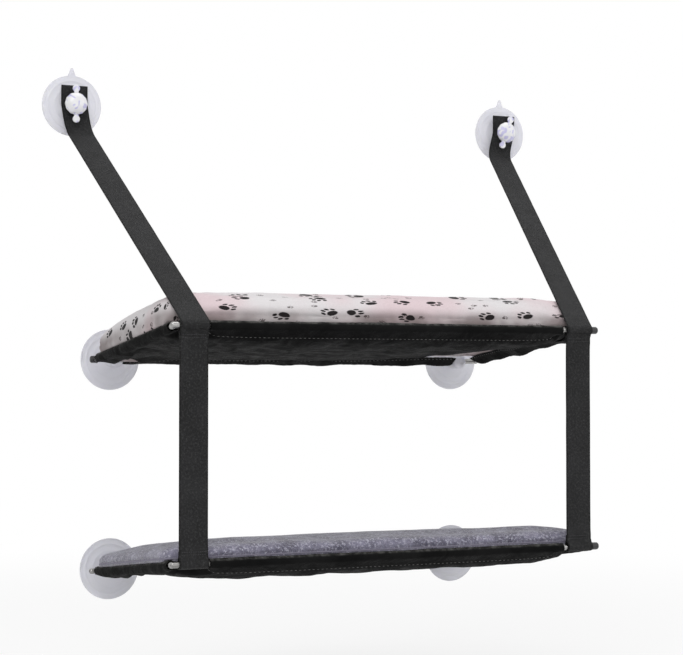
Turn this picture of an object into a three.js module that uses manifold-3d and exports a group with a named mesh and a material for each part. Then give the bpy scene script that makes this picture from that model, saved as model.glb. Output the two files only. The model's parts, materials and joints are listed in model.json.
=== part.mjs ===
// Two-tier window hammock. Six suction cups hold it to the glass: two high ones carry webbing hangers
// to the front rods, and four carry the back rods. Each tier is a rod frame in a fabric sling with a mat.
// Millimetres, +Z up. The glass is the plane Y = 0, the room lies at -Y, and X runs along the window.
// The origin lies on the glass, midway between the two cups that carry the upper tier.
import * as THREE from "three";
import { mergeVertices } from "three/addons/utils/BufferGeometryUtils.js";
import Module from "manifold-3d";

const wasm = await Module();
wasm.setup();

// Layout of the whole object
const tierDepth = 345; // back rod axis to front rod axis
const tierTilt = THREE.MathUtils.degToRad(6.7); // the front rod hangs higher than the back rod
const tierSpacing = 303; // upper tier to lower tier, down the glass
const hangerRise = 367; // upper tier's cups up to the top cups
const topCupShift = 16; // both top cups stand this far to the right of the tiers

// Clearances
const restGap = 0.3; // between pieces that touch
const runGap = 0.6; // between a rod and what turns on it
const cutOverrun = 2; // how far a cutter runs past what it cuts
const sameCorner = 1e-4; // corners closer than this are one

// Rods
const rodLength = 636;
const strapInset = 31.5; // strap's middle, in from the long rod's end
const backCupInset = 37;
const topCupOutset = 38; // top cup's middle, out beyond the rod's end
const rodRadius = 4;
const rodWall = 1;
const rodDome = 3.5; // length of the closed, domed end
const rodStandoff = 24; // back rod axis from the glass
const sideRodInset = 7; // side rod axis from the long rod's end
const neckRadius = 2.5; // drawn-down end of a side rod
const neckBore = 1.2;
const neckReach = 1; // the neck stops this far short of the long rod's axis
const shoulderLength = 3; // taper from a side rod's neck to its barrel

// Black end cap, which also takes the side rod's neck
const capWall = 0.9;
const capLength = 11;
const capDome = 2.2;
const capFloor = 2;

// Suction cups
const cupRadius = 44;
const cupLip = 1.4; // thickness at the rim
const cupSeal = 8; // width of the flat ring on the glass
const cupHollow = 2.2; // depth of the hollow under the cup
const cupCrown = 6.5; // dome height at the hub
const hubRadius = 11;
const hubFillet = 3;
const hubWall = 5.5; // material beyond the rod's bore
const hubRound = 3;
const topHubHeight = 12.5;
const tabLength = 11; // pull tab on the rim
const tabBaseWidth = 12;
const tabTipWidth = 4;
const tabThickness = 1.6;
const tabRoot = 6; // how far the tab runs into the cup
const domeShares = [0.86, 0.72, 0.58, 0.44]; // radii on the dome, of the cup's
const domeRiseShares = [0.12, 0.33, 0.57, 0.8]; // heights there, between lip and crown

// Stud, eyelet and thumb nut of a top cup
const studRadius = 3;
const studRoot = 8; // length held in the hub
const studLength = 26;
const eyeletBore = 3.8;
const eyeletBarrel = 4.6;
const eyeletRim = 7;
const eyeletRimThickness = 0.6;
const nutRadius = 16.5;
const nutFootRadius = 10;
const nutHeight = 17;
const nutSkirt = 4; // height over which the foot flares to full width
const nutBand = 3.5; // straight part of the side
const nutRoof = 2.5; // material over the stud's end
const earReach = 27.5; // nut axis to an ear's tip
const earHead = 5.4; // radius of an ear's round head
const earNeck = 3.4; // half width of an ear's neck
const earThickness = 4.6;
const earLift = 4.5; // ears above the nut's foot

// Webbing
const webWidth = 40;
const webThickness = 1.8;
const hangerTail = 27.5; // strap end above the stud
const hangerFlat = 20; // flat length below the stud
const hangerBend = 35; // radius of the bend into the slope
const hangerEndAngle = THREE.MathUtils.degToRad(-118); // heading where the lower end stops
const loopMerge = 11; // rod axis to where the loop's two plies meet
const loopStitch = 17; // rod axis to the end of the doubled part

// Sling cloth
const clothThickness = 1.2;
const sleeveSeam = 18; // rod axis to the sleeve's seam
const slingSag = 20;
const sagPowerAtBack = 1.9; // the cloth leaves the back rod gently
const sagPowerAtFront = 14; // and drops steeply behind the front rod
const sagPowerSideToSide = 9;
const foldDepth = 2.4;
const foldCount = 7;
const foldSkew = 1.9; // radians that the folds lean from back to front
const frontSleeveGap = 5; // front sleeve's end to the strap
const sideSleeveFront = 17; // side sleeve's ends, from the long rods' axes
const sideSleeveBack = 20;
const frontCornerWidth = 62; // corner openings in the cloth, along the long rod and along the side rod
const frontCornerDepth = 52;
const backCornerWidth = 96;
const backCornerDepth = 140;
const cornerSlackShare = 2.4; // the cloth is taut along an opening, and slack this many times as far in

// Mats
const matSideOverhang = 6; // out past the long rods' ends
const matRearGap = 15; // back rod axis to the mat's rear edge
const matFrontGap = 9; // front rod axis to the mat's front edge
const matRound = 10; // how far the corners are drawn in
const matDrawIn = 3; // how far the sides pull in between the corners
const benchOverrun = 0.2; // share of a sleeve's length that its bench runs on at both ends
const matUnder = 46; // raw depth below the seam, trimmed by the cloth
const matRoundingAlong = 24; // power of the edge rounding, long way
const matRoundingDeep = 14; // and short way
const matEdgePower = 0.45;
const matGridPower = 2.2; // crowds the mesh lines toward the edges
const upperMat = { seam: 16, top: 36, crown: 4 };
const lowerMat = { seam: 10, top: 19, crown: 3 };
const strapDent = 2.5; // clearance pressed into the mat under a hanger
const strapDentFade = 34; // width over which the dent fades out

// Mesh fineness
const rodSides = 12;
const cupSides = 24;
const nutSides = 24;
const ringSteps = 7;
const sleeveSides = 14;
const arcSteps = 5;
const clothCellsAlong = 28;
const clothCellsDeep = 10;
const matCellsAlong = 18;
const matCellsDeep = 12;
const hangerStraightSteps = 6;
const hangerBendSteps = 5;
const hangerWrapSteps = 7;

// Sizes that follow from the ones above
const strapSpacing = rodLength - 2 * strapInset;
const backCupSpacing = rodLength - 2 * backCupInset;
const topCupSpacing = rodLength + 2 * topCupOutset;
const matWidth = rodLength + 2 * matSideOverhang;
const sideRodX = rodLength / 2 - sideRodInset;
const rodBoreInHub = rodRadius + runGap;
const backHubHeight = rodStandoff + rodBoreInHub + hubWall;
const capBore = rodRadius + restGap;
const capRadius = capBore + capWall;
const loopBore = rodRadius + runGap;
const loopRadius = loopBore + webThickness;
const sleeveBore = rodRadius + restGap;
const sleeveRadius = sleeveBore + clothThickness;
const frontY = -rodStandoff - tierDepth * Math.cos(tierTilt);
const frontZ = tierDepth * Math.sin(tierTilt);
const eyeletSeat = topHubHeight + restGap; // distances from the glass
const strapSeat = eyeletSeat + eyeletRimThickness + restGap;
const eyeletFront = strapSeat + webThickness + restGap;
const nutSeat = eyeletFront + eyeletRimThickness + restGap;

// Materials
const clearPlastic = { color: 0xd4d4e2, roughness: 0.12, metalness: 0, transparent: true, opacity: 0.6 };
const knobPlastic = { color: 0xe9e8f4, roughness: 0.08, metalness: 0, transparent: true, opacity: 0.75 };
const steel = { color: 0xc9c9cc, roughness: 0.25, metalness: 1 };
const blackPlastic = { color: 0x1d1d1e, roughness: 0.5, metalness: 0 };
const webbing = { color: 0x363637, roughness: 0.85, metalness: 0 };
const slingCloth = { color: 0x202021, roughness: 0.8, metalness: 0 };
const printedPlush = { color: 0xe6d3d2, roughness: 0.95, metalness: 0 };
const greyFleece = { color: 0x8f8c9d, roughness: 1, metalness: 0 };

const along = new THREE.Vector3(1, 0, 0);
const glassward = new THREE.Vector3(0, 1, 0);
const up = new THREE.Vector3(0, 0, 1);

// Turns a closed geometry into a solid, with its shared corners merged.
function solidFrom(geometry) {
  const bare = geometry.clone();
  bare.deleteAttribute("normal");
  bare.deleteAttribute("uv");
  const merged = mergeVertices(bare, sameCorner);
  const corners = merged.index.array;
  const kept = [];
  for (let i = 0; i < corners.length; i += 3) {
    const [a, b, c] = [corners[i], corners[i + 1], corners[i + 2]];
    if (a !== b && b !== c && c !== a) kept.push(a, b, c);
  }
  const vertProperties = new Float32Array(merged.attributes.position.array);
  return new wasm.Manifold(
    new wasm.Mesh({ numProp: 3, vertProperties, triVerts: new Uint32Array(kept) }),
  );
}

function geometryFrom(solid) {
  const mesh = solid.getMesh();
  const geometry = new THREE.BufferGeometry();
  geometry.setAttribute("position", new THREE.BufferAttribute(mesh.vertProperties, 3));
  geometry.setIndex(new THREE.BufferAttribute(mesh.triVerts, 1));
  const faceted = geometry.toNonIndexed();
  faceted.computeVertexNormals();
  return faceted;
}

function meshFrom(name, solid, look) {
  const mesh = new THREE.Mesh(geometryFrom(solid), new THREE.MeshStandardMaterial(look));
  mesh.name = name;
  return mesh;
}

function lathe(points, sides) {
  return new THREE.LatheGeometry(points.map(([r, y]) => new THREE.Vector2(r, y)), sides);
}

function move(geometry, x, y, z) {
  return geometry.translate(x, y, z);
}

// A cylinder from one point to another, used as a cutter.
function rodBetween(start, end, radius, sides) {
  const line = new THREE.Vector3().subVectors(end, start);
  const geometry = new THREE.CylinderGeometry(radius, radius, line.length(), sides);
  const turn = new THREE.Quaternion().setFromUnitVectors(glassward, line.clone().normalize());
  geometry.applyQuaternion(turn);
  const middle = new THREE.Vector3().addVectors(start, end).multiplyScalar(0.5);
  return solidFrom(move(geometry, middle.x, middle.y, middle.z));
}

// Extrudes an outline drawn in (distance into the room, height) along X, centred on x.
function extrudeAcross(shape, width, x) {
  const geometry = new THREE.ExtrudeGeometry(shape, extrusion(width));
  move(geometry, 0, 0, -width / 2);
  const basis = new THREE.Matrix4().makeBasis(
    glassward.clone().negate(),
    up,
    along.clone().negate(),
  );
  return solidFrom(move(geometry.applyMatrix4(basis), x, 0, 0));
}

// Extrudes an outline drawn in (X, height) into the room, from y.
function extrudeOut(shape, depth, y) {
  const geometry = new THREE.ExtrudeGeometry(shape, extrusion(depth));
  const basis = new THREE.Matrix4().makeBasis(along, up, glassward.clone().negate());
  return solidFrom(move(geometry.applyMatrix4(basis), 0, y, 0));
}

// Extrudes an outline drawn in (X, Y) upward, from z.
function extrudeUp(shape, height, z) {
  return solidFrom(move(new THREE.ExtrudeGeometry(shape, extrusion(height)), 0, 0, z));
}

function extrusion(depth) {
  return { depth, bevelEnabled: false, curveSegments: ringSteps };
}

// A closed skin over a grid. Each of top and bottom gives the point at a share of the way along and deep.
function gridSolid(cellsAlong, cellsDeep, top, bottom) {
  const points = [];
  const faces = [];
  const wide = cellsAlong + 1;
  const layer = wide * (cellsDeep + 1);
  for (const skin of [bottom, top])
    for (let j = 0; j <= cellsDeep; j++)
      for (let i = 0; i <= cellsAlong; i++) points.push(...skin(i / cellsAlong, j / cellsDeep));
  const quad = (a, b, c, d) => faces.push(a, b, c, a, c, d);
  for (let j = 0; j < cellsDeep; j++)
    for (let i = 0; i < cellsAlong; i++) {
      const a = j * wide + i;
      quad(a, a + wide, a + wide + 1, a + 1);
      quad(layer + a, layer + a + 1, layer + a + wide + 1, layer + a + wide);
    }
  for (let i = 0; i < cellsAlong; i++) {
    const far = cellsDeep * wide + i;
    quad(i, i + 1, layer + i + 1, layer + i);
    quad(far + 1, far, layer + far, layer + far + 1);
  }
  for (let j = 0; j < cellsDeep; j++) {
    const near = j * wide;
    const far = near + cellsAlong;
    quad(near + wide, near, layer + near, layer + near + wide);
    quad(far, far + wide, layer + far + wide, layer + far);
  }
  const geometry = new THREE.BufferGeometry();
  geometry.setAttribute("position", new THREE.Float32BufferAttribute(points, 3));
  geometry.setIndex(faces);
  return solidFrom(geometry);
}

// Suction cup: lip, dome and hub in one lathe, with a pull tab on the rim. Its axis is Y, its seal at y = 0.
function cupSolid(hubHeight, tabAngle) {
  const rise = cupCrown - cupLip;
  const dome = domeShares.map((share, i) => [cupRadius * share, -cupLip - rise * domeRiseShares[i]]);
  const outline = [
    [0, -cupHollow],
    [cupRadius - cupSeal, 0],
    [cupRadius, 0],
    [cupRadius, -cupLip],
    ...dome,
    [hubRadius + hubFillet, -cupCrown],
    [hubRadius, -cupCrown - hubFillet],
    [hubRadius, -hubHeight + hubRound],
    [hubRadius - hubRound / 2, -hubHeight + hubRound / 6],
    [hubRadius - hubRound, -hubHeight],
    [0, -hubHeight],
  ];
  const body = solidFrom(lathe(outline.reverse(), cupSides));
  const rim = cupRadius - tabRoot;
  const tip = cupRadius + tabLength;
  const shape = new THREE.Shape();
  shape.moveTo(rim, -tabBaseWidth / 2);
  shape.lineTo(cupRadius, -tabBaseWidth / 2);
  shape.lineTo(tip - tabTipWidth / 2, -tabTipWidth / 2);
  shape.absarc(tip - tabTipWidth / 2, 0, tabTipWidth / 2, -Math.PI / 2, Math.PI / 2, false);
  shape.lineTo(cupRadius, tabBaseWidth / 2);
  shape.lineTo(rim, tabBaseWidth / 2);
  const tab = extrudeOut(shape, tabThickness, 0);
  return body.add(tab.rotate([0, THREE.MathUtils.radToDeg(-tabAngle), 0]));
}

// Cup that carries a back rod: the hub has a cross bore in which the rod turns.
function backCup(name, side, height) {
  const x = (side * backCupSpacing) / 2;
  const tabAngle = side > 0 ? Math.PI : 0;
  const reach = hubRadius + cutOverrun;
  const bore = rodBetween(
    new THREE.Vector3(-reach, -rodStandoff, 0),
    new THREE.Vector3(reach, -rodStandoff, 0),
    rodBoreInHub,
    rodSides,
  );
  const mesh = meshFrom(name, cupSolid(backHubHeight, tabAngle).subtract(bore), clearPlastic);
  mesh.position.set(x, 0, height);
  return mesh;
}

// Top cup: a short hub with a blind bore for the stud.
function topCup(name) {
  const bore = rodBetween(
    new THREE.Vector3(0, -topHubHeight + studRoot + restGap, 0),
    new THREE.Vector3(0, -topHubHeight - cutOverrun, 0),
    studRadius + restGap,
    rodSides,
  );
  return meshFrom(name, cupSolid(topHubHeight, Math.PI / 2).subtract(bore), clearPlastic);
}

function stud(name) {
  const root = -topHubHeight + studRoot;
  const point = root - studLength;
  const bevel = studRadius / 3;
  const outline = [
    [0, point],
    [studRadius - bevel, point],
    [studRadius, point + bevel],
    [studRadius, root],
    [0, root],
  ];
  return meshFrom(name, solidFrom(lathe(outline, rodSides)), steel);
}

function eyelet(name) {
  const back = -eyeletSeat;
  const front = -eyeletFront - eyeletRimThickness;
  const outline = [
    [eyeletBore, front],
    [eyeletRim, front],
    [eyeletRim, front + eyeletRimThickness],
    [eyeletBarrel, front + eyeletRimThickness],
    [eyeletBarrel, back - eyeletRimThickness],
    [eyeletRim, back - eyeletRimThickness],
    [eyeletRim, back],
    [eyeletBore, back],
    [eyeletBore, front],
  ];
  return meshFrom(name, solidFrom(lathe(outline, rodSides)), blackPlastic);
}

// Thumb nut: a domed round body on the stud, with two ears whose round heads stand on narrow necks.
function thumbNut(name) {
  const foot = -nutSeat;
  const shoulder = foot - nutSkirt - nutBand;
  const crown = foot - nutHeight;
  const dome = [];
  for (let i = 1; i < arcSteps; i++) {
    const turn = ((Math.PI / 2) * i) / arcSteps;
    dome.push([nutRadius * Math.cos(turn), shoulder + (crown - shoulder) * Math.sin(turn)]);
  }
  const boreEnd = -topHubHeight + studRoot - studLength - restGap;
  const outline = [
    [0, boreEnd],
    [studRadius + restGap, boreEnd],
    [studRadius + restGap, foot],
    [nutFootRadius, foot],
    [nutRadius, foot - nutSkirt],
    [nutRadius, shoulder],
    ...dome,
    [0, Math.min(crown, boreEnd - nutRoof)],
  ];
  const body = solidFrom(lathe(outline.reverse(), nutSides));
  const headCentre = earReach - earHead;
  const neckMeet = Math.asin(earNeck / earHead);
  const shape = new THREE.Shape();
  shape.moveTo(-earNeck, 0);
  shape.lineTo(-earNeck, -headCentre + earHead * Math.cos(neckMeet));
  shape.absarc(0, -headCentre, earHead, Math.PI / 2 + neckMeet, Math.PI * 2.5 - neckMeet, false);
  shape.lineTo(earNeck, headCentre - earHead * Math.cos(neckMeet));
  shape.absarc(0, headCentre, earHead, -Math.PI / 2 + neckMeet, Math.PI * 1.5 - neckMeet, false);
  const ears = extrudeOut(shape, earThickness, foot - earLift);
  const stem = nutRadius / 2;
  const keep = rodBetween(
    new THREE.Vector3(0, foot, 0),
    new THREE.Vector3(0, crown, 0),
    stem,
    nutSides,
  );
  return meshFrom(name, body.add(ears.subtract(keep)), knobPlastic);
}

// Long rod along X: a tube with a domed end at -X and an open end at +X, and a cross hole for each side rod.
function longRod(name, holesToward) {
  const start = -rodLength / 2;
  const end = rodLength / 2 - capFloor - restGap;
  const inner = rodRadius - rodWall;
  const dome = [];
  for (let i = 1; i <= arcSteps; i++) {
    const turn = ((Math.PI / 2) * i) / arcSteps;
    dome.push([rodRadius * Math.sin(turn), start + rodDome * (1 - Math.cos(turn))]);
  }
  const outline = [
    [0, start],
    ...dome,
    [rodRadius, end],
    [inner, end],
    [inner, start + rodDome + rodWall],
    [0, start + rodDome + rodWall],
  ];
  const tube = solidFrom(lathe(outline, rodSides).rotateZ(-Math.PI / 2));
  const holes = [-sideRodX, sideRodX].map((x) => crossHole(x, holesToward, neckRadius + restGap));
  return meshFrom(name, holes.reduce((solid, hole) => solid.subtract(hole), tube), steel);
}

// Bore from a long rod's axis out through the wall that faces the side rod.
function crossHole(x, toward, radius) {
  const axis = new THREE.Vector3(x, 0, 0);
  const outside = new THREE.Vector3(x, toward * (capRadius + cutOverrun), 0);
  return rodBetween(axis, outside, radius, rodSides);
}

// Black cap over a long rod's open end, drawn at the +X end.
function endCap(name, holeToward) {
  const tip = rodLength / 2;
  const mouth = tip - capLength;
  const floor = tip - capFloor;
  const dome = [];
  for (let i = 0; i < arcSteps; i++) {
    const turn = ((Math.PI / 2) * i) / arcSteps;
    dome.push([capRadius - capDome * (1 - Math.cos(turn)), tip - capDome * (1 - Math.sin(turn))]);
  }
  const outline = [
    [0, floor],
    [capBore, floor],
    [capBore, mouth],
    [capRadius, mouth],
    ...dome,
    [capRadius - capDome, tip],
    [0, tip],
  ];
  const cup = solidFrom(lathe(outline, rodSides).rotateZ(-Math.PI / 2));
  const hole = crossHole(sideRodX, holeToward, neckRadius + restGap);
  return meshFrom(name, cup.subtract(hole), blackPlastic);
}

// Side rod: a tube between the long rods, drawn down at both ends to necks that seat in their cross holes.
function sideRod(name, x) {
  const shoulder = capRadius + restGap;
  const tip = neckReach;
  const inner = rodRadius - rodWall;
  const nearHalf = [
    [neckRadius, tip],
    [neckRadius, shoulder],
    [rodRadius, shoulder + shoulderLength],
  ];
  const nearBore = [
    [inner, shoulder + shoulderLength],
    [neckBore, shoulder],
    [neckBore, tip],
  ];
  const mirrored = (points) => points.map(([r, y]) => [r, tierDepth - y]).reverse();
  const outline = [...nearHalf, ...mirrored(nearHalf), ...mirrored(nearBore), ...nearBore, nearHalf[0]];
  const mesh = meshFrom(name, solidFrom(lathe(outline, rodSides)), steel);
  mesh.position.set(x, -tierDepth, 0);
  return mesh;
}

// Height of the cloth's middle surface over the plane of the rods, at u along X and v out from the back rod.
function clothHeight(u, v) {
  const share = v / tierDepth;
  const deep = (1 - (1 - share) ** sagPowerAtBack) * (1 - share ** sagPowerAtFront);
  const wide = 1 - Math.abs(u / sideRodX) ** sagPowerSideToSide;
  const fold = Math.cos((Math.PI * foldCount * u) / sideRodX + (foldSkew * v) / tierDepth);
  const inward = sideRodX - Math.abs(u);
  const fromBack = inward / backCornerWidth + v / backCornerDepth;
  const fromFront = inward / frontCornerWidth + (tierDepth - v) / frontCornerDepth;
  const slack = THREE.MathUtils.smoothstep(Math.min(fromBack, fromFront), 1, cornerSlackShare);
  return (-slingSag - foldDepth * fold) * deep * wide * slack;
}

// A slab on the cloth's grid, from one height over the cloth's middle surface down to a floor.
function clothSlab(over, floor) {
  const edge = sleeveBore + clothThickness / 2;
  const halfWidth = sideRodX - edge;
  const place = (a, b) => [(2 * a - 1) * halfWidth, edge + (tierDepth - 2 * edge) * b];
  const skin = (height) => (a, b) => {
    const [u, v] = place(a, 1 - b);
    return [u, -v, height(u, v)];
  };
  return gridSolid(
    clothCellsAlong,
    clothCellsDeep,
    skin((u, v) => clothHeight(u, v) + over),
    skin(floor),
  );
}

// The four sleeves, each as the two ends of its rod's axis and of the seam where its plies come together.
function sleeveRuns() {
  const frontHalf = strapSpacing / 2 - webWidth / 2 - frontSleeveGap;
  const backHalf = backCupSpacing / 2 - hubRadius - runGap;
  const atRod = (half, v, inward) => {
    const drop = clothHeight(0, v + inward * sleeveSeam);
    return [-half, half].map((x) => ({
      rod: new THREE.Vector3(x, -v, 0),
      seam: new THREE.Vector3(x, -v - inward * sleeveSeam, drop),
    }));
  };
  const atSide = (side) =>
    [sideSleeveBack, tierDepth - sideSleeveFront].map((v) => {
      const x = side * sideRodX;
      const seamX = side * (sideRodX - sleeveSeam);
      return {
        rod: new THREE.Vector3(x, -v, 0),
        seam: new THREE.Vector3(seamX, -v, clothHeight(seamX, v)),
      };
    });
  return [atRod(frontHalf, tierDepth, -1), atRod(backHalf, 0, 1), atSide(-1), atSide(1)];
}

// Corners of a skin stretched over a tube round the rod and along the seam, grown by "over".
function sleeveCorners(ends, over) {
  const [start, end] = ends;
  const run = new THREE.Vector3().subVectors(end.rod, start.rod).normalize();
  const side = new THREE.Vector3().crossVectors(run, up);
  const corners = [];
  for (const { rod, seam } of ends) {
    for (let i = 0; i < sleeveSides; i++) {
      const turn = (Math.PI * 2 * i) / sleeveSides;
      const out = side.clone().multiplyScalar(Math.cos(turn)).addScaledVector(up, Math.sin(turn));
      corners.push(rod.clone().addScaledVector(out, sleeveRadius + over));
    }
    for (const edge of [-clothThickness - over, over]) corners.push(seam.clone().addScaledVector(up, edge));
  }
  return corners;
}

function hullOf(corners) {
  return wasm.Manifold.hull(corners.map((corner) => corner.toArray()));
}

function sleeveBoreAlong([start, end]) {
  const over = new THREE.Vector3().subVectors(end.rod, start.rod).setLength(cutOverrun);
  return rodBetween(start.rod.clone().sub(over), end.rod.clone().add(over), sleeveBore, sleeveSides);
}

// Triangle cut out of the cloth at a corner, right through.
function cornerOpening(side, v, width, deep) {
  const x = side * sideRodX;
  const inward = -side * width;
  const shape = new THREE.Shape();
  const corners = [
    [x, -v],
    [x + inward, -v],
    [x, -v - deep],
  ];
  if (side * deep > 0) corners.reverse();
  corners.forEach(([a, b], i) => (i ? shape.lineTo(a, b) : shape.moveTo(a, b)));
  const drop = 2 * slingSag;
  return extrudeUp(shape, 2 * drop, -drop);
}

// Sling cloth: it sags with its main folds, is open at the four corners, and has a sleeve round each rod.
function slingSolid() {
  const half = clothThickness / 2;
  let cloth = clothSlab(half, (u, v) => clothHeight(u, v) - half);
  for (const side of [-1, 1]) {
    cloth = cloth.subtract(cornerOpening(side, 0, backCornerWidth, backCornerDepth));
    cloth = cloth.subtract(cornerOpening(side, tierDepth, frontCornerWidth, -frontCornerDepth));
  }
  for (const ends of sleeveRuns()) cloth = cloth.add(hullOf(sleeveCorners(ends, 0)));
  for (const ends of sleeveRuns()) cloth = cloth.subtract(sleeveBoreAlong(ends));
  return cloth;
}

// Heading of a hanger's straight run, in (distance into the room, height).
function hangerRun() {
  const wrap = loopRadius + restGap + webThickness / 2;
  const level = strapSeat + webThickness / 2;
  const bendCentre = new THREE.Vector2(level + hangerBend, hangerRise - hangerFlat);
  const rod = new THREE.Vector2(-frontY, frontZ);
  const gap = new THREE.Vector2().subVectors(rod, bendCentre);
  const heading = Math.atan2(gap.y, gap.x) + Math.asin((hangerBend + wrap) / gap.length());
  return { wrap, level, bendCentre, rod, heading };
}

// A point beside a circle's centre: to its right when "radius" is positive and the path turns that way.
function besideArc(centre, radius, heading) {
  return new THREE.Vector2(
    centre.x - radius * Math.sin(heading),
    centre.y + radius * Math.cos(heading),
  );
}

// Middle line of a hanger, from its tail above the stud to its end round the front rod.
function hangerLine(fromX, toX) {
  const { wrap, level, bendCentre, rod, heading } = hangerRun();
  const flat = [
    [level, hangerRise + hangerTail, -Math.PI / 2],
    [level, hangerRise, -Math.PI / 2],
  ];
  const arc = (centre, radius, start, end, steps) => {
    const out = [];
    for (let i = 0; i <= steps; i++) {
      const turn = start + ((end - start) * i) / steps;
      const at = besideArc(centre, radius, turn);
      out.push([at.x, at.y, turn]);
    }
    return out;
  };
  const bend = arc(bendCentre, -hangerBend, -Math.PI / 2, heading, hangerBendSteps);
  const round = arc(rod, wrap, heading, hangerEndAngle, hangerWrapSteps);
  const [from] = bend.slice(-1);
  const straight = [];
  for (let i = 1; i < hangerStraightSteps; i++) {
    const share = i / hangerStraightSteps;
    straight.push([
      from[0] + (round[0][0] - from[0]) * share,
      from[1] + (round[0][1] - from[1]) * share,
      heading,
    ]);
  }
  const line = [...flat, ...bend, ...straight, ...round];
  const fall = hangerRise - round[0][1];
  return line.map(([out, height, turn]) => {
    const share = Math.min(1, (hangerRise - height) / fall);
    const wrapped = out > round[0][0] ? 1 : share;
    return { x: fromX + (toX - fromX) * wrapped, y: -out, z: height, turn };
  });
}

// Hanger strap: webbing swept along its line, with a hole for the eyelet.
function hangerStrap(name, fromX, toX) {
  const line = hangerLine(fromX, toX);
  const skin = (offset) => (a, b) => {
    const at = line[Math.round(b * (line.length - 1))];
    return [
      at.x + (a - 0.5) * webWidth,
      at.y + offset * Math.sin(at.turn),
      at.z + offset * Math.cos(at.turn),
    ];
  };
  const half = webThickness / 2;
  const strap = gridSolid(2, line.length - 1, skin(-half), skin(half));
  const hole = rodBetween(
    new THREE.Vector3(fromX, -strapSeat + cutOverrun, hangerRise),
    new THREE.Vector3(fromX, -strapSeat - webThickness - cutOverrun, hangerRise),
    eyeletBarrel + restGap,
    rodSides,
  );
  return meshFrom(name, strap.subtract(hole), webbing);
}

// Drop strap: one ply of webbing between two loops, doubled as far as each loop's stitching.
function dropStrap(name, x) {
  const meet = new THREE.Vector2(webThickness, -loopMerge);
  const touch = meet.angle() - Math.PI * 2 + Math.acos(loopRadius / meet.length());
  const shape = new THREE.Shape();
  shape.absarc(0, 0, loopRadius, touch, Math.PI - touch, false);
  const left = [
    [-webThickness, loopMerge],
    [-webThickness, loopStitch],
    [-webThickness / 2, loopStitch],
    [-webThickness / 2, tierSpacing - loopStitch],
    [-webThickness, tierSpacing - loopStitch],
    [-webThickness, tierSpacing - loopMerge],
  ];
  left.forEach(([out, down]) => shape.lineTo(out, -down));
  shape.absarc(0, -tierSpacing, loopRadius, Math.PI + touch, -touch, false);
  left.reverse().forEach(([out, down]) => shape.lineTo(-out, -down));
  for (const z of [0, -tierSpacing]) {
    const bore = new THREE.Path();
    bore.absarc(0, z, loopBore, 0, Math.PI * 2, true);
    shape.holes.push(bore);
  }
  const mesh = meshFrom(name, extrudeAcross(shape, webWidth, 0), webbing);
  mesh.position.set(x, frontY, frontZ);
  return mesh;
}

// Height, over the plane of the rods, of a hanger's underside at v out from the back rod.
function hangerUnderside(v) {
  const { wrap, heading } = hangerRun();
  const slope = heading - tierTilt;
  const clear = wrap - webThickness / 2 - strapDent;
  const startV = tierDepth - clear * Math.sin(slope);
  const startW = clear * Math.cos(slope);
  return startW + (v - startV) * Math.tan(slope);
}

// Mat: a crowned pad with drawn-in sides, pressed in under the hangers and lying on the cloth.
function mat(name, form, underHangers, look) {
  const halfWidth = matWidth / 2;
  const halfDepth = (tierDepth - matRearGap - matFrontGap) / 2;
  const middle = matRearGap + halfDepth;
  const crowd = (share) => {
    const s = 2 * share - 1;
    return Math.sign(s) * (1 - (1 - Math.abs(s)) ** matGridPower);
  };
  const place = (a, b) => {
    const round = matRound * Math.abs(a) * Math.abs(b) ** matRoundingDeep;
    const roundDeep = matRound * Math.abs(b) * Math.abs(a) ** matRoundingAlong;
    const u = a * (halfWidth - matDrawIn * (1 - b * b)) - Math.sign(a) * round;
    const v = middle - b * (halfDepth - matDrawIn * (1 - a * a)) + Math.sign(b) * roundDeep;
    return [u, v];
  };
  const swell = (a, b) => {
    const edge = (1 - Math.abs(a) ** matRoundingAlong) * (1 - Math.abs(b) ** matRoundingDeep);
    return edge ** matEdgePower;
  };
  const strapEdge = (strapSpacing - webWidth) / 2;
  const topSkin = (shareA, shareB) => {
    const [a, b] = [crowd(shareA), crowd(shareB)];
    const [u, v] = place(a, b);
    const free = form.seam + form.top * swell(a, b) + form.crown * (1 - a * a) * (1 - b * b);
    if (!underHangers || free <= form.seam) return [u, -v, free];
    const under = THREE.MathUtils.smoothstep(Math.abs(u), strapEdge - strapDentFade, strapEdge - strapDent);
    const pressed = Math.max(form.seam, Math.min(free, hangerUnderside(v)));
    return [u, -v, free + (pressed - free) * under];
  };
  const bottomSkin = (shareA, shareB) => {
    const [a, b] = [crowd(shareA), crowd(shareB)];
    const [u, v] = place(a, b);
    return [u, -v, form.seam - matUnder * swell(a, b)];
  };
  const pad = gridSolid(matCellsAlong, matCellsDeep, topSkin, bottomSkin);
  const under = clothSlab(clothThickness / 2 + restGap, () => -2 * matUnder);
  return meshFrom(name, benches().reduce((solid, bench) => solid.subtract(bench), pad.subtract(under)), look);
}

// What a mat keeps clear of at the four rods: each sleeve with its gap, run on a little, and all beneath.
function benches() {
  return sleeveRuns().map(([start, end]) => {
    const longer = [-benchOverrun, 1 + benchOverrun].map((share) => ({
      rod: start.rod.clone().lerp(end.rod, share),
      seam: start.seam.clone().lerp(end.seam, share),
    }));
    const corners = sleeveCorners(longer, restGap);
    const beneath = corners.map((corner) => corner.clone().setZ(-2 * matUnder));
    const outside = longer.map(({ rod, seam }) => {
      const out = new THREE.Vector3().subVectors(rod, seam).setZ(0).setLength(matUnder);
      return rod.clone().add(out);
    });
    return hullOf([...corners, ...beneath, ...outside]);
  });
}

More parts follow.
